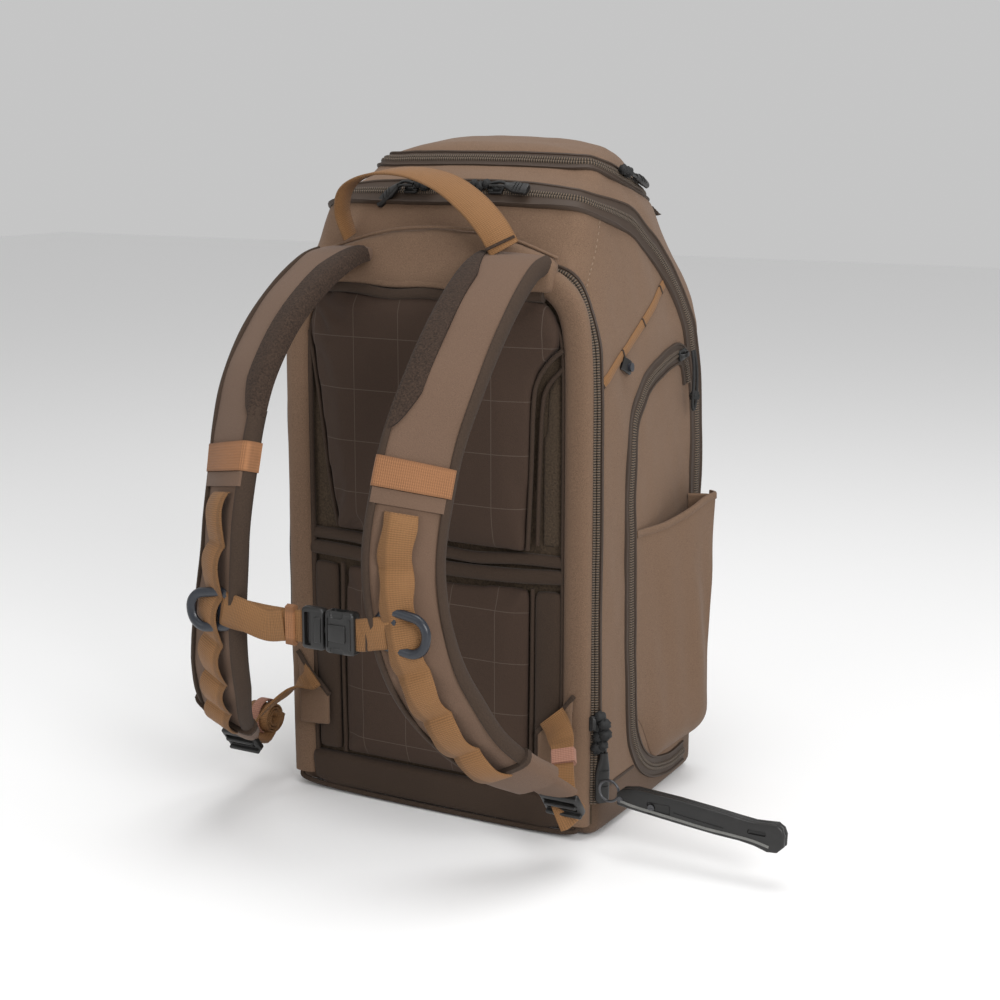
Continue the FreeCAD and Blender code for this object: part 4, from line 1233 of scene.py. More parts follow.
# %% Strap ends and lower webbing
for word, side in (("right", 1), ("left", -1)):
    rows = STRAPS[word]
    cap = strip(f"strap_cap_{word}", rows, LENGTH - 0.036, LENGTH,
                lambda distance: crowned_section(
                    0.058 - 0.26 * (distance - LENGTH + 0.036), -0.0076, 0.0092, 10, 3.4), 0.004)
    finish_piece(cap, strap_brown, "back_panel", 60, [f"strap_end_{word}"])
    cap_hem = strip(f"strap_cap_hem_{word}", rows, LENGTH - 0.038, LENGTH - 0.034,
                    lambda distance: crowned_section(0.0590, -0.0080, 0.0098, 10, 3.4), 0.002)
    finish_piece(cap_hem, binding, "back_panel", 60)
    tongue = band(f"strap_tongue_{word}",
                  [(0.1410 * side, -0.194, 0.0825), (0.1465 * side, -0.1845, 0.0760),
                   (0.1505 * side, -0.1770, 0.0700), (0.1530 * side, -0.1715, 0.0650)],
                  (0, -0.80, -0.60), crowned_section(0.038, -0.0042, 0.0042, 8, 3), steps=4)
    finish_piece(tongue, strap_brown, "back_panel", 60)
    wing = soft_block(f"wing_{word}", [(0.1020 * side, 0.060), (0.1320 * side, 0.058),
                                       (0.1335 * side, 0.121), (0.1200 * side, 0.104),
                                       (0.1020 * side, 0.088)], -0.1125, -0.1085, 0.0018, 2,
                      edge=0.001)
    finish_piece(wing, brown, "back_panel", 60,
                 ["harness_wings"] if side > 0 else ())
    wing_hem = band(f"wing_hem_{word}", [(0.1015 * side, -0.1110, 0.087),
                                         (0.1105 * side, -0.1110, 0.0960),
                                         (0.1205 * side, -0.1110, 0.1050),
                                         (0.1340 * side, -0.1110, 0.1220)], (0, -1, 0),
                    round_section(0.0021, 8), steps=5)
    finish_piece(wing_hem, binding, "back_panel", 60)
    turned = [(0.1, -1, 0.05), (0.1, -1, 0.1), (0.2, -0.9, 0.35), (0.25, -0.80, 0.50),
              (0.2, -0.75, 0.60), (0.1, -0.70, 0.70)]
    if side < 0:
        turned = [(-0.2, -1, 0.05), (-0.5, -0.8, 0.1), (-0.85, -0.5, 0.2), (-0.85, -0.45, 0.25),
                  (-0.7, -0.5, 0.4), (-0.1, -0.70, 0.70)]
    lower = band(f"lower_web_{word}",
                 [(0.1160 * side, -0.1135, 0.1040), (0.1220 * side, -0.1155, 0.0975),
                  (0.1310 * side, -0.1250, 0.0900), (0.1400 * side, -0.1385, 0.0810),
                  (0.1475 * side, -0.1535, 0.0690), (0.1515 * side, -0.1640, 0.0600)],
                 turned, flat_section(0.025, 0.0018), steps=6,
                 widths=[1, 1, 0.86, 0.62, 0.72, 0.95])
    finish_piece(lower, coyote, "back_panel", 50, [f"lower_webbing_{word}"])
print("strap ends done")

# %% Ladder locks, tail, roll and keepers


def bevelled(name, place, size, edge, segments=3):
    """A box with rounded edges."""
    bpy.ops.mesh.primitive_cube_add(size=1, location=place)
    piece = bpy.context.object
    piece.name = name
    piece.scale = size
    bpy.ops.object.transform_apply(location=True, rotation=False, scale=True)
    corner = piece.modifiers.new("corner", "BEVEL")
    corner.width = edge
    corner.segments = segments
    return apply_all(piece)


def bored(piece, *cutters):
    """Cut holes in a piece and remove the cutters."""
    for cutter in cutters:
        knife = piece.modifiers.new("hole", "BOOLEAN")
        knife.operation = "DIFFERENCE"
        knife.solver = "EXACT"
        knife.object = cutter
        apply_all(piece)
        bpy.data.objects.remove(cutter)
    return piece


def tilted(piece, place, angle, axis):
    """Turn a piece about a place and bake the turn into its mesh."""
    turn = (Matrix.Translation(place) @ Matrix.Rotation(angle, 4, axis)
            @ Matrix.Translation(-Vector(place)))
    piece.data.transform(turn)
    piece.data.update()
    return piece


for word, side in (("right", 1), ("left", -1)):
    middle = Vector((0.1535 * side, -0.1665, 0.0555))
    lock = bevelled(f"adjuster_frame_{word}", middle, (0.033, 0.0062, 0.022), 0.0018)
    bored(lock, bevelled("slot_a", middle + Vector((0, 0, 0.0048)), (0.0265, 0.02, 0.0038), 0.0006),
          bevelled("slot_b", middle - Vector((0, 0, 0.0030)), (0.0265, 0.02, 0.0038), 0.0006))
    lip = bevelled("lip", middle + Vector((0, -0.0018, -0.0098)), (0.031, 0.0084, 0.0032), 0.0014)
    bar = bevelled("bar", middle + Vector((0, -0.0030, 0.0012)), (0.028, 0.0046, 0.0032), 0.0012)
    bpy.ops.object.select_all(action="DESELECT")
    for item in (lip, bar, lock):
        item.select_set(True)
    bpy.context.view_layer.objects.active = lock
    bpy.ops.object.join()
    tilted(lock, tuple(middle), math.radians(38), "X")
    finish_piece(lock, black, f"adjuster_{word}", 35, [f"ladder_lock_{word}"])

tail = band("webbing_tail", [(0.1580, -0.1500, 0.0545), (0.1560, -0.1585, 0.0465),
                             (0.1520, -0.1630, 0.0430), (0.1475, -0.1645, 0.0410)],
            [(0.1, -0.75, -0.65), (0.1, -0.85, -0.5), (0.0, -0.98, -0.2), (0.0, -1, -0.1)],
            flat_section(0.0225, 0.0018), steps=7)
finish_piece(tail, coyote, "back_panel", 50, ["webbing_tail_right"])
keeper_right = band("tail_keeper_right", [(0.1372, -0.1340, 0.0842), (0.1428, -0.1435, 0.0770)],
                    (0.25, -0.80, 0.50), [(-0.0088, -0.0030), (0.0088, -0.0030), (0.0102, 0.0),
                                          (0.0088, 0.0042), (-0.0088, 0.0042), (-0.0102, 0.0)],
                    steps=3)
finish_piece(keeper_right, rose_elastic, "back_panel", 50)

coil = []
for step in range(0, 91):
    angle = step * math.radians(12)
    radius = 0.0042 + 0.0082 * step / 90
    coil.append((-0.1665, -0.118 + radius * math.cos(angle), 0.060 + radius * math.sin(angle)))
coil += [(-0.1650, -0.1235, 0.0480), (-0.1600, -0.1400, 0.0460), (-0.1555, -0.1560, 0.0520)]
facing = [(0, y + 0.118, z - 0.060) for x, y, z in coil[:91]]
facing += [(0, -0.4, -1), (0, -0.4, -1), (0, -0.4, -1)]
roll = band("webbing_roll", coil, facing, flat_section(0.0245, 0.0016), steps=2)
finish_piece(roll, coyote, "back_panel", 50, ["webbing_roll_left"])
hoop = [(-0.1665, -0.118 + 0.0142 * math.cos(a * math.pi / 12),
         0.060 + 0.0142 * math.sin(a * math.pi / 12)) for a in range(25)]
ring = band("roll_keeper", hoop, [(0, y + 0.118, z - 0.060) for x, y, z in hoop],
            flat_section(0.0095, 0.0012), steps=2, loop=True)
finish_piece(ring, rose_elastic, "back_panel", 50, ["roll_keeper_left"])
print("adjusters done")

# %% [markdown]
# A stretch pocket for a bottle is sewn to each side door. It lies flat along its rear seam and
# swells forwards, and its top edge rises to the front and gapes a little.

# %% Bottle pockets


def pocket_point(across, level):
    """A place on the pocket: across runs from the rear seam round to the front, level rises."""
    if across < 0.82:
        part = across / 0.82
        y = -0.031 + 0.109 * part
        deep = 0.0008 + 0.0218 * smooth_step(part * 0.98) ** 0.85
    else:
        part = (across - 0.82) / 0.18
        y = 0.078 + 0.0065 * math.sin(part * math.pi)
        deep = 0.0226 * max(1 - part, 0) ** 0.7 + 0.0006
    front = smooth_step(min(across / 0.82, 1))
    top = 0.238 + 0.016 * front ** 2
    foot = 0.034 + 0.050 * (1 - smooth_step(across * 2.6))
    z = foot + (top - foot) * level
    tuck = 1 - (1 - min(level / 0.16, 1)) ** 2.4
    gape = 1 + 0.10 * smooth_step((level - 0.75) / 0.25) * front
    crease = 0.0016 * math.sin(26 * across + 7 * level) * math.sin(3.1 * level) * front
    drape = 0.0016 * field.noise(Vector((across * 4, level * 3, 2.0)))
    return y, (deep * tuck * gape + crease + drape * front), z


for word, side in (("right", 1), ("left", -1)):
    columns, levels = 56, 44
    verts = []
    for row in range(levels + 1):
        for column in range(columns + 1):
            y, deep, z = pocket_point(column / columns, row / levels)
            ground = on_case((side * 0.149, y, z))[0].x * side
            verts.append((side * (ground + 0.0004 + max(deep, 0.0)), y, z))
    faces = []
    for row in range(levels):
        for column in range(columns):
            a = row * (columns + 1) + column
            faces.append((a, a + 1, a + columns + 2, a + columns + 1))
    pocket = keep_mesh(f"bottle_pocket_cloth_{word}", verts, faces)
    mend(pocket)
    if pocket.data.polygons[len(faces) // 2].normal.x * side < 0:
        pocket.data.flip_normals()
    wall = pocket.modifiers.new("wall", "SOLIDIFY")
    wall.thickness = 0.0016
    wall.offset = -1
    apply_all(pocket)
    finish_piece(pocket, brown, f"side_door_{word}", 60,
                 [f"bottle_pocket_{word}"])
    rim = []
    for column in range(0, columns + 1, 2):
        y, deep, z = pocket_point(column / columns, 1.0)
        ground = on_case((side * 0.149, y, z))[0].x * side
        rim.append((side * (ground + 0.0002 + max(deep, 0.0)), y, z))
    hem = band(f"bottle_pocket_hem_{word}", rim, [(side, -0.2, 0)] * len(rim),
               [(-0.0050, -0.0012), (-0.0050, 0.0008), (-0.0040, 0.0013), (0.0006, 0.0013),
                (0.0014, 0.0), (0.0006, -0.0014)] if side > 0 else
               [(0.0050, -0.0012), (0.0050, 0.0008), (0.0040, 0.0013), (-0.0006, 0.0013),
                (-0.0014, 0.0), (-0.0006, -0.0014)], steps=3)
    finish_piece(hem, brown, f"side_door_{word}", 60)
print("pockets done")

# %% [markdown]
# A tan strip is sewn on the slant of each side with small tacks, and a black snap tab sits
# under its lower end. Dashed stitching marks the seam above it.

# %% Side strips, snap tabs and stitching
stitch_pale = cloth_finish("stitching_thread", (0.230, 0.160, 0.110), speck=0.9)
STRIP_LINE = [(-0.094, 0.371), (-0.060, 0.3885), (-0.025, 0.4050), (0.010, 0.4220),
              (0.043, 0.4385)]


def dashes(name, spots, finish, length=0.0030, pitch=0.0052, wide=0.0009, tall=0.0009):
    """Sewn stitches along a line on the cloth."""
    places, facings = laid(spots, 30)
    verts, faces, travelled, mark = [], [], 0.0, 0.0
    for (a, b, up) in zip(places, places[1:], facings):
        travelled += (b - a).length
        if travelled < mark or (b - a).length < 1e-6:
            continue
        along = (b - a).normalized()
        out = along.cross(up).normalized()
        base = len(verts)
        for forward, sideways, high in ((0, -1, 0), (0, 1, 0), (1, 1, 0), (1, -1, 0),
                                        (0.15, -0.7, 1), (0.15, 0.7, 1), (0.85, 0.7, 1),
                                        (0.85, -0.7, 1)):
            verts.append(a + along * forward * length + out * sideways * wide / 2
                         + up * (high * tall - 0.0002))
        faces += [tuple(base + item for item in face) for face in (
            (0, 3, 2, 1), (4, 5, 6, 7), (0, 1, 5, 4), (1, 2, 6, 5), (2, 3, 7, 6), (3, 0, 4, 7))]
        mark += pitch
    piece = keep_mesh(name, verts, faces)
    return finish_piece(mend(piece), finish, "pack", 30)


for word, side in (("right", 1), ("left", -1)):
    places, facings = laid([(side * side_width(z), y, z) for y, z in STRIP_LINE], 8)
    tan_strip = band(f"side_strip_{word}", places, facings, flat_section(0.0072, 0.0013), steps=1)
    finish_piece(tan_strip, coyote, "pack", 50,
                 ["seam_strips"] if side > 0 else ())
    count = len(places)
    for number, spot in enumerate((0.03, 0.32, 0.62, 0.97)):
        middle = int(spot * (count - 2))
        along = (places[middle + 1] - places[middle]).normalized()
        tack = band(f"side_strip_tack_{word}_{number}",
                    [places[middle] - along * 0.0008, places[middle] + along * 0.0008],
                    [facings[middle]] * 2, flat_section(0.0080, 0.0019), steps=1)
        finish_piece(tack, dark_brown, "pack", 30)
    spot, out = on_case((side * 0.148, -0.053, 0.380))
    tab = band(f"snap_tab_{word}", [spot + Vector((0, -0.006, 0.004)), spot + out * 0.0030,
                                    spot + Vector((0, 0.006, -0.001))], [out] * 3,
               flat_section(0.0115, 0.0026), steps=5)
    finish_piece(tab, black, "pack", 40, ["snap_tabs"] if side > 0 else ())
    snap = band(f"snap_{word}", [spot + out * 0.0045, spot + out * 0.0072],
                [(0, 0, 1)] * 2, round_section(0.0036, 20), steps=1)
    finish_piece(snap, blue_black, "pack", 30)
    dashes(f"shoulder_stitch_{word}",
           [(side * 0.126, -0.050, 0.5050), (side * 0.138, -0.072, 0.470),
            (side * 0.142, -0.100, 0.4450)], stitch_pale)
print("strips done")

# %% [markdown]
# The sternum strap is 25 mm webbing between two sliders that ride the straps' ladders. Its
# side-release buckle has a plug with two sprung prongs and a socket with a window on each edge.

# %% Sternum sliders and webbing
CHEST_Z = 0.2055


def rounded_loop(centre, wide, tall, corner, points=6):
    """Places round a rounded rectangle in X and Z."""
    loop = []
    for quarter, (sx, sz) in enumerate(((1, 1), (-1, 1), (-1, -1), (1, -1))):
        for step in range(points + 1):
            angle = math.pi / 2 * (quarter + step / points)
            loop.append(Vector(centre) + Vector((
                sx * (wide / 2 - corner) + corner * math.cos(angle), 0,
                sz * (tall / 2 - corner) + corner * math.sin(angle))))
    loop.append(loop[0].copy())
    return loop


for word, side in (("right", 1), ("left", -1)):
    middle = (Vector((0.0865, -0.2882, CHEST_Z + 0.006)) if side > 0
              else Vector((-0.084, -0.2882, CHEST_Z + 0.001)))
    loop = rounded_loop(middle, 0.0410, 0.0270, 0.0125)
    frame_ring = band(f"sternum_slider_{word}", loop, [(0, -1, 0)] * len(loop),
                      [(-0.0028, -0.0020), (0.0028, -0.0020), (0.0038, -0.0002),
                       (0.0030, 0.0022), (0.0008, 0.0032), (-0.0020, 0.0028),
                       (-0.0036, 0.0006)], steps=2, loop=True)
    tilted(frame_ring, tuple(middle), math.radians(9 * side), "Y")
    finish_piece(frame_ring, blue_black, f"chest_{word}", 50,
                 [f"chest_slider_{word}"])
    post = bevelled(f"slider_bar_{word}", middle + Vector((-0.0075 * side, 0.0005, 0)),
                    (0.0050, 0.0036, 0.0250), 0.0014)
    finish_piece(post, blue_black, f"chest_{word}", 40)
right_web = band("sternum_web_right", [(0.0810, -0.2850, 0.2115), (0.0745, -0.2900, 0.2105),
                                       (0.0640, -0.2912, 0.2085), (0.0520, -0.2900, 0.2056),
                                       (0.0440, -0.2896, 0.2055)], [(0, -1, 0)] * 5,
                 flat_section(0.0245, 0.0018), steps=6)
finish_piece(right_web, coyote, "chest_right", 50, ["chest_webbing_right"])
left_web = band("sternum_web_left", [(-0.0800, -0.2835, 0.2085), (-0.0720, -0.2890, 0.2080),
                                     (-0.0540, -0.2912, 0.2068), (-0.0330, -0.2900, 0.2060),
                                     (-0.0150, -0.2906, 0.2055), (0.0050, -0.2898, 0.2055)],
                [(0.05, -1, 0.03), (0.02, -1, 0.05), (0, -1, 0.12), (0, -1, -0.08),
                 (0, -1, 0), (0, -1, 0)], flat_section(0.0245, 0.0018), steps=7)
finish_piece(left_web, coyote, "chest_plug", 50, ["chest_webbing_left"])
left_lap = band("sternum_lap_left", [(-0.0700, -0.2905, 0.2110), (-0.0520, -0.2938, 0.2085),
                                     (-0.0300, -0.2928, 0.2030), (-0.0140, -0.2926, 0.2050)],
                [(0.1, -1, 0.1)] * 4, flat_section(0.0240, 0.0016), steps=6)
finish_piece(left_lap, coyote, "chest_plug", 50)
chest_loop = band("sternum_keeper", [(-0.0115, -0.2912, 0.2055), (-0.0045, -0.2912, 0.2055)],
                  [(0, -1, 0)] * 2, [(-0.0142, -0.0030), (0.0142, -0.0030), (0.0158, 0.0),
                                     (0.0142, 0.0036), (-0.0142, 0.0036), (-0.0158, 0.0)],
                  steps=3)
finish_piece(chest_loop, coyote_elastic, "chest_plug", 50, ["chest_keeper"])
web_tack = band("sternum_tack", [(0.0580, -0.2908, CHEST_Z), (0.0596, -0.2908, CHEST_Z)],
                [(0, -1, 0)] * 2, flat_section(0.0225, 0.0018), steps=1)
finish_piece(web_tack, dark_brown, "chest_right", 40)
print("sternum webbing done")

# %% Side-release buckle
MID_Y = -0.28960


def joined(name, *pieces):
    """Join pieces into one object."""
    bpy.ops.object.select_all(action="DESELECT")
    for piece in pieces:
        piece.select_set(True)
    bpy.context.view_layer.objects.active = pieces[0]
    bpy.ops.object.join()
    pieces[0].name = name
    return pieces[0]


plug = bevelled("plug", (0.0118, MID_Y, CHEST_Z), (0.0200, 0.0094, 0.0320), 0.0032, 4)
bored(plug, bevelled("window", (0.0082, MID_Y, CHEST_Z), (0.0056, 0.03, 0.0252), 0.0010))
plug_bar = bevelled("plug_bar", (0.0085, MID_Y - 0.0006, CHEST_Z), (0.0030, 0.0044, 0.0260), 0.0012)
plug_ridge = bevelled("plug_ridge", (0.0170, MID_Y - 0.0042, CHEST_Z), (0.0060, 0.0036, 0.0200),
                      0.0014)
tongue_bar = bevelled("tongue_bar", (0.0320, MID_Y, CHEST_Z), (0.0240, 0.0044, 0.0050), 0.0010)
plug = joined("sternum_plug", plug, plug_bar, plug_ridge, tongue_bar)
finish_piece(plug, black, "chest_plug", 35, ["buckle_plug"])
for word, sign in (("upper", 1), ("lower", -1)):
    arm = bevelled("arm", (0.0290, MID_Y, CHEST_Z + sign * 0.0101),
                   (0.0140, 0.0042, 0.0032), 0.0010)
    head = bevelled("head", (0.0380, MID_Y, CHEST_Z + sign * 0.0108), (0.0110, 0.0042, 0.0040),
                    0.0014)
    prong = joined(f"sternum_prong_{word}", arm, head)
    finish_piece(prong, black, f"prong_{word}", 35, [f"buckle_prong_{word}"])
socket = bevelled("socket", (0.0362, MID_Y, CHEST_Z), (0.0256, 0.0118, 0.0325), 0.0034, 4)
bored(socket, bevelled("mouth", (0.0340, MID_Y, CHEST_Z), (0.0240, 0.0066, 0.0252), 0.0008),
      bevelled("notch_high", (0.0345, MID_Y, CHEST_Z + 0.0175), (0.0135, 0.0070, 0.0110), 0.0020),
      bevelled("notch_low", (0.0345, MID_Y, CHEST_Z - 0.0175), (0.0135, 0.0070, 0.0110), 0.0020),
      bevelled("dish_high", (0.0345, MID_Y - 0.0066, CHEST_Z + 0.0150), (0.0120, 0.0060, 0.0080),
               0.0024),
      bevelled("dish_low", (0.0345, MID_Y - 0.0066, CHEST_Z - 0.0150), (0.0120, 0.0060, 0.0080),
               0.0024))
crest = bevelled("crest", (0.0350, MID_Y - 0.0062, CHEST_Z), (0.0150, 0.0020, 0.0130), 0.0009)
rib_one = bevelled("rib_one", (0.0262, MID_Y - 0.0060, CHEST_Z), (0.0012, 0.0016, 0.0230), 0.0005)
rib_two = bevelled("rib_two", (0.0462, MID_Y - 0.0060, CHEST_Z), (0.0014, 0.0016, 0.0230), 0.0005)
socket = joined("sternum_socket", socket, crest, rib_one, rib_two)
finish_piece(socket, black, "chest_right", 35, ["buckle_socket"])
print("buckle", len(plug.data.polygons), len(socket.data.polygons))

# %% [markdown]
# The grab handle is the same webbing. It leaves the left of the panel edge-on, arches over,
# and turns its face towards the wearer's back before it is tacked at the right.

# %% Grab handle
GRAB = [(-0.0800, -0.0985, 0.478), (-0.0835, -0.1040, 0.500), (-0.0735, -0.1085, 0.5190),
        (-0.0470, -0.1100, 0.5290), (-0.0140, -0.1100, 0.5300), (0.0180, -0.1125, 0.5225),
        (0.0440, -0.1160, 0.5080), (0.0640, -0.1195, 0.4910), (0.0760, -0.1200, 0.4740)]
GRAB_LOOK = [(-1, -0.2, 0.05), (-0.95, -0.15, 0.3), (-0.6, -0.1, 0.8), (-0.2, -0.1, 1),
             (0.1, -0.25, 0.95), (0.3, -0.50, 0.80), (0.40, -0.70, 0.60), (0.42, -0.80, 0.45),
             (0.42, -0.86, 0.30)]
handle = band("grab_handle_web", GRAB, GRAB_LOOK, flat_section(0.0250, 0.0020), steps=9)
finish_piece(handle, coyote, "grab_handle", 50, ["grab_webbing"])
end_tack = band("grab_tack", [(0.0725, -0.1218, 0.4792), (0.0737, -0.1221, 0.4775)],
                [(0.42, -0.82, 0.38)] * 2, flat_section(0.0250, 0.0016), steps=1)
finish_piece(end_tack, mesh_dark, "grab_handle", 40)
print("handle done")

# %% [markdown]
# Every zip has a moulded slider with a bridge, and a cord pull with a rubbery end. Each slider
# sits on its own coil line, and its pull lies the way it hangs.

# %% Zip sliders and pulls


def slider_piece(name, place, along, up, body, stands_for, scale=1.0):
    """A zip slider: a waisted body, side flanges and a bridge."""
    place, along, up = Vector(place), Vector(along).normalized(), Vector(up).normalized()
    out = along.cross(up).normalized()
    up = out.cross(along).normalized()
    basis = Matrix((along, out, up)).transposed().to_4x4()
    base = bevelled("base", (0, 0, 0.0012), (0.0120, 0.0090, 0.0026), 0.0010)
    nose = bevelled("nose", (0.0045, 0, 0.0022), (0.0052, 0.0062, 0.0030), 0.0012)
    bridge = band("bridge", [(-0.0045, 0, 0.0022), (-0.0030, 0, 0.0048), (0.0005, 0, 0.0055),
                             (0.0040, 0, 0.0046), (0.0052, 0, 0.0025)], [(-1, 0, 0.6),
                             (-0.6, 0, 1), (0, 0, 1), (0.7, 0, 1), (1, 0, 0.6)],
                  flat_section(0.0034, 0.0013), steps=3)
    piece = joined(name, base, nose, bridge)
    piece.data.transform(Matrix.Translation(place) @ basis @ Matrix.Scale(scale, 4))
    piece.data.update()
    return finish_piece(piece, black, body, 35, [stands_for])


def pull_piece(name, route, look, body, stands_for, wide=0.0072, thick=0.0030, start=0.45):
    """A cord pull: a doubled cord that runs into a tapered moulded end."""
    sections = [Vector(point) for point in route]
    line = eased(sections, 8)
    split = int(len(line) * start)
    look = Vector(look).normalized()
    pieces = []
    for sign in (-1, 1):
        shifted = []
        for index, place in enumerate(line[:split + 3]):
            ahead = line[min(index + 1, len(line) - 1)]
            out = (ahead - line[max(index - 1, 0)]).normalized().cross(look).normalized()
            open_up = math.sin(math.pi * min(index / max(split, 1), 1)) * 0.0008
            shifted.append(place + out * sign * (0.0012 + open_up) + look * 0.0006)
        pieces.append(band("strand", shifted, [look] * len(shifted), round_section(0.00125, 8),
                           steps=1))
    tail_line = line[split:]
    widths = [0.55 + 0.45 * smooth_step(index / max(len(tail_line) - 1, 1) * 2.2)
              for index in range(len(tail_line))]
    widths[-1] = 0.72
    pieces.append(band("grip", tail_line, [look] * len(tail_line),
                       crowned_section(wide, -thick / 2, thick / 2, 8, 3), steps=1,
                       widths=widths))
    for rib in (0.45, 0.6, 0.75):
        spot = tail_line[int(rib * (len(tail_line) - 2))]
        after = tail_line[int(rib * (len(tail_line) - 2)) + 1]
        along = (after - spot).normalized()
        pieces.append(band("rib", [spot, spot + along * 0.0012], [look] * 2,
                           crowned_section(wide * 0.9, -thick * 0.62, thick * 0.66, 6, 3),
                           steps=1))
    piece = joined(name, *pieces)
    return finish_piece(piece, black, body, 45,
                        [stands_for] if stands_for else ())




def lumps(name, spots, size, body):
    """Knots in black cord: small wrapped balls."""
    balls = []
    for number, spot in enumerate(spots):
        bpy.ops.mesh.primitive_uv_sphere_add(segments=18, ring_count=10, location=spot,
                                             radius=size * (1 + 0.12 * math.sin(number * 2.3)))
        ball = bpy.context.object
        bpy.ops.object.transform_apply(location=True, rotation=False, scale=False)
        for vertex in ball.data.vertices:
            away = vertex.co - Vector(spot)
            vertex.co = Vector(spot) + away * (1 + 0.15 * math.sin(away.x * 2600 + away.z * 1900))
        balls.append(ball)
    return finish_piece(joined(name, *balls), cord_black, body, 60)


for word, x, turn in (("right", 0.0430, 1), ("left", -0.0370, -1)):
    spot, out = cross_hits([x], (-0.106, 0.5505), (0.040, -0.0415))[0]
    slider_piece(f"main_slider_cloth_{word}", spot + out * 0.0022, (-turn, 0, 0), out,
                 f"main_zip_{word}", f"main_slider_{word}")
    drop = 0.0 if turn > 0 else -0.007
    run = [spot + out * 0.0085 + Vector((turn * reach, 0, fall)) for reach, fall in (
        (-0.004, 0.0), (0.006, 0.0005), (0.014, -0.0010 + drop * 0.4), (0.021, -0.002 + drop),
        (0.030, -0.003 + drop * 1.9))]
    pull_piece(f"main_pull_cord_{word}", run, tuple(out), f"main_tab_{word}",
               f"main_pull_{word}", 0.0105, 0.0048, 0.38)
    lumps(f"main_knots_{word}", [spot + out * 0.0070 + Vector((turn * reach, 0, high))
                                 for reach, high in ((-0.008, 0.002), (-0.014, 0.0),
                                                     (-0.0195, 0.002))], 0.0036,
          f"main_zip_{word}")
lid_way = [(place, out) for place, out in zip(*lid_line) if place.x > 0 and 0.012 < place.y < 0.066]
lid_way = sorted(lid_way, key=lambda pair: pair[0].y)
lid_pull = [lid_way[int(part * (len(lid_way) - 1))] for part in (0.0, 0.25, 0.5, 0.75, 1.0)]
lid_pull = [place + out * 0.0060 + Vector((0, 0, 0.002)) for place, out in lid_pull]
pull_piece("lid_pull_cord", lid_pull, (0.8, 0, 0.6), "front_flap", None, 0.0095, 0.0048, 0.5)
lumps("lid_knots", [lid_pull[0], lid_pull[1], lid_pull[0].lerp(lid_pull[1], 0.5)], 0.0040,
      "front_flap")
rear_spot, rear_out = on_case((0.1475, -0.1005, 0.0985))
slider_piece("rear_slider_body", rear_spot + rear_out * 0.0022, (0, 0, 1), rear_out,
             "rear_zip", "rear_slider")
start = rear_spot + rear_out * 0.0060 + Vector((0.0030, 0.0045, 0))
pull_piece("rear_pull_cord", [start + Vector((0, 0, 0.004)),
                              start + Vector((0.0015, 0.001, -0.008)),
                              start + Vector((0.0025, 0.002, -0.024)),
                              start + Vector((0.0015, 0.002, -0.044)),
                              start + Vector((0.0012, 0.002, -0.066))], (0.75, -0.66, 0),
           "rear_tab", "rear_pull", 0.0120, 0.0060, 0.50)
lumps("rear_knots", [start + Vector((dx, -0.0005, dz)) for dx, dz in (
    (0.000, 0.006), (0.004, 0.000), (-0.002, -0.003), (0.005, -0.008), (-0.001, -0.011),
    (0.003, -0.017), (-0.002, -0.020))], 0.0048, "rear_tab")
for word, side in (("right", 1), ("left", -1)):
    spot, out = on_case((side * 0.149, 0.0605, 0.3775))
    slider_piece(f"side_slider_body_{word}", spot + out * 0.0022, (0, 1, 0.17), out,
                 f"side_zip_{word}", f"side_slider_{word}")
print("sliders done")

# %% [markdown]
# A sheathed tool hangs from the rear zip by a split ring. The sheath is two moulded halves with
# a long bevel along the lower edge, a thumb recess near the ring and a slot near its tip. A pale
# grey strip along the bevel is a painted highlight.

# %% Ring and sheath
bpy.ops.mesh.primitive_torus_add(major_segments=64, minor_segments=14, major_radius=0.0086,
                                 minor_radius=0.0011, location=(0.165, -0.108, 0.048),
                                 rotation=(math.radians(90), 0, 0))
split_ring = bpy.context.object
split_ring.name = "split_ring"
bpy.ops.object.transform_apply(location=True, rotation=True, scale=True)
finish_piece(split_ring, steel, "tool_link", 60, ["tool_ring"])
SHEATH = [(0.178, 0.043), (0.178, 0.053), (0.183, 0.0572), (0.194, 0.0590), (0.230, 0.0570),
          (0.262, 0.0540), (0.280, 0.0520), (0.293, 0.0508), (0.302, 0.0514), (0.311, 0.0522),
          (0.3160, 0.0490), (0.3180, 0.0440), (0.3176, 0.0350), (0.3120, 0.0295),
          (0.3040, 0.0288), (0.2940, 0.0318), (0.282, 0.0335), (0.262, 0.0345),
          (0.236, 0.0368), (0.212, 0.0392), (0.190, 0.0415)]


def sheath_half(name, low, high):
    """One moulded half of the sheath with a bevelled outer face."""
    half = pushed_outline(name, SHEATH, low, high)
    for vertex in half.data.vertices:
        x, y, z = vertex.co
        vertex.co = (y, x, z)
    mend(half)
    corner = half.modifiers.new("corner", "BEVEL")
    corner.width = 0.0018
    corner.segments = 3
    corner.limit_method = "ANGLE"
    corner.angle_limit = math.radians(60)
    apply_all(half)
    return half


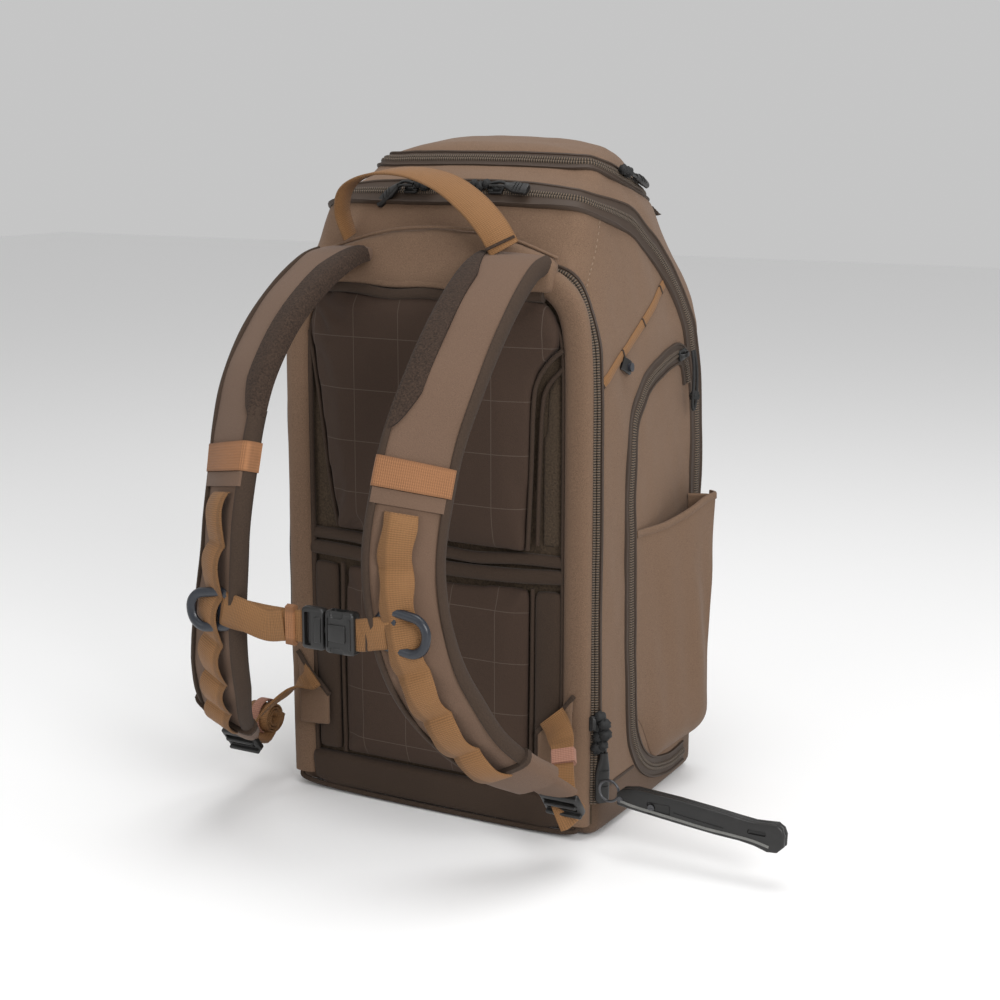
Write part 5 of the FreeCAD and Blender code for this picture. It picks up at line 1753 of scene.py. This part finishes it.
near_half = sheath_half("sheath_near_shell", -0.1220, -0.1171)
bored(near_half, bevelled("recess", (0.2145, -0.1226, 0.0462), (0.0200, 0.0034, 0.0100), 0.0016),
      bevelled("slot", (0.2960, -0.1220, 0.0430), (0.0150, 0.0040, 0.0036), 0.0012),
      tilted(bevelled("groove", (0.2480, -0.1222, 0.0440), (0.0420, 0.0016, 0.0012), 0.0004),
             (0.248, -0.1222, 0.0440), math.radians(6), "Y"))
finish_piece(near_half, black, "tool", 30, ["sheath_near"])
far_half = sheath_half("sheath_far_shell", -0.1169, -0.1120)
finish_piece(far_half, black, "tool", 30, ["sheath_far"])
# A pale grey strip along the lower bevel: a painted highlight where the chamfer catches the light.
edge_line = [(0.182, 0.0470), (0.192, 0.0450), (0.210, 0.0430), (0.232, 0.0408),
             (0.254, 0.0385), (0.274, 0.0375), (0.292, 0.0362), (0.306, 0.0335)]
pale = band("sheath_bevel_highlight_strip", [(x, -0.1224, z) for x, z in edge_line], (0, -1, -0.2),
            [(-0.0011, -0.0008), (0.0011, -0.0008), (0.0008, 0.0003), (-0.0008, 0.0003)],
            steps=6)
finish_piece(pale, sheath_highlight_grey, "tool", 40)
eyelet = band("sheath_eyelet", [(0.1815, -0.1224, 0.0480), (0.1815, -0.1116, 0.0480)],
              [(0, 0, 1)] * 2, round_section(0.0026, 20), steps=1)
finish_piece(eyelet, steel, "tool", 40)
screw = band("sheath_screw_head", [(0.2080, -0.1222, 0.0462), (0.2080, -0.1208, 0.0462)],
             [(0, 0, 1)] * 2, round_section(0.0028, 24), steps=1)
bored(screw, bevelled("drive", (0.2080, -0.1224, 0.0462), (0.0040, 0.0012, 0.0008), 0.0002))
finish_piece(screw, steel, "tool", 35, ["sheath_screw"])
print("tool done")

# %% [markdown]
# The frame sheet and its stays stay as they are, hidden behind the back panel. They only
# need their own finishes.

# %% Hidden frame
sheet_plastic = hard_finish("frame_sheet_plastic", (0.045, 0.045, 0.048), 0.5)
stay_metal = hard_finish("frame_stay_metal", (0.62, 0.63, 0.64), 0.32, metal=1.0)
for name, finish in (("frame_sheet", sheet_plastic), ("frame_stays", stay_metal)):
    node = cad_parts[name]
    if not node.material_slots:
        node.data.materials.append(finish)
    for slot in node.material_slots:
        slot.material = finish
    print(name, [slot.material.name for slot in node.material_slots])
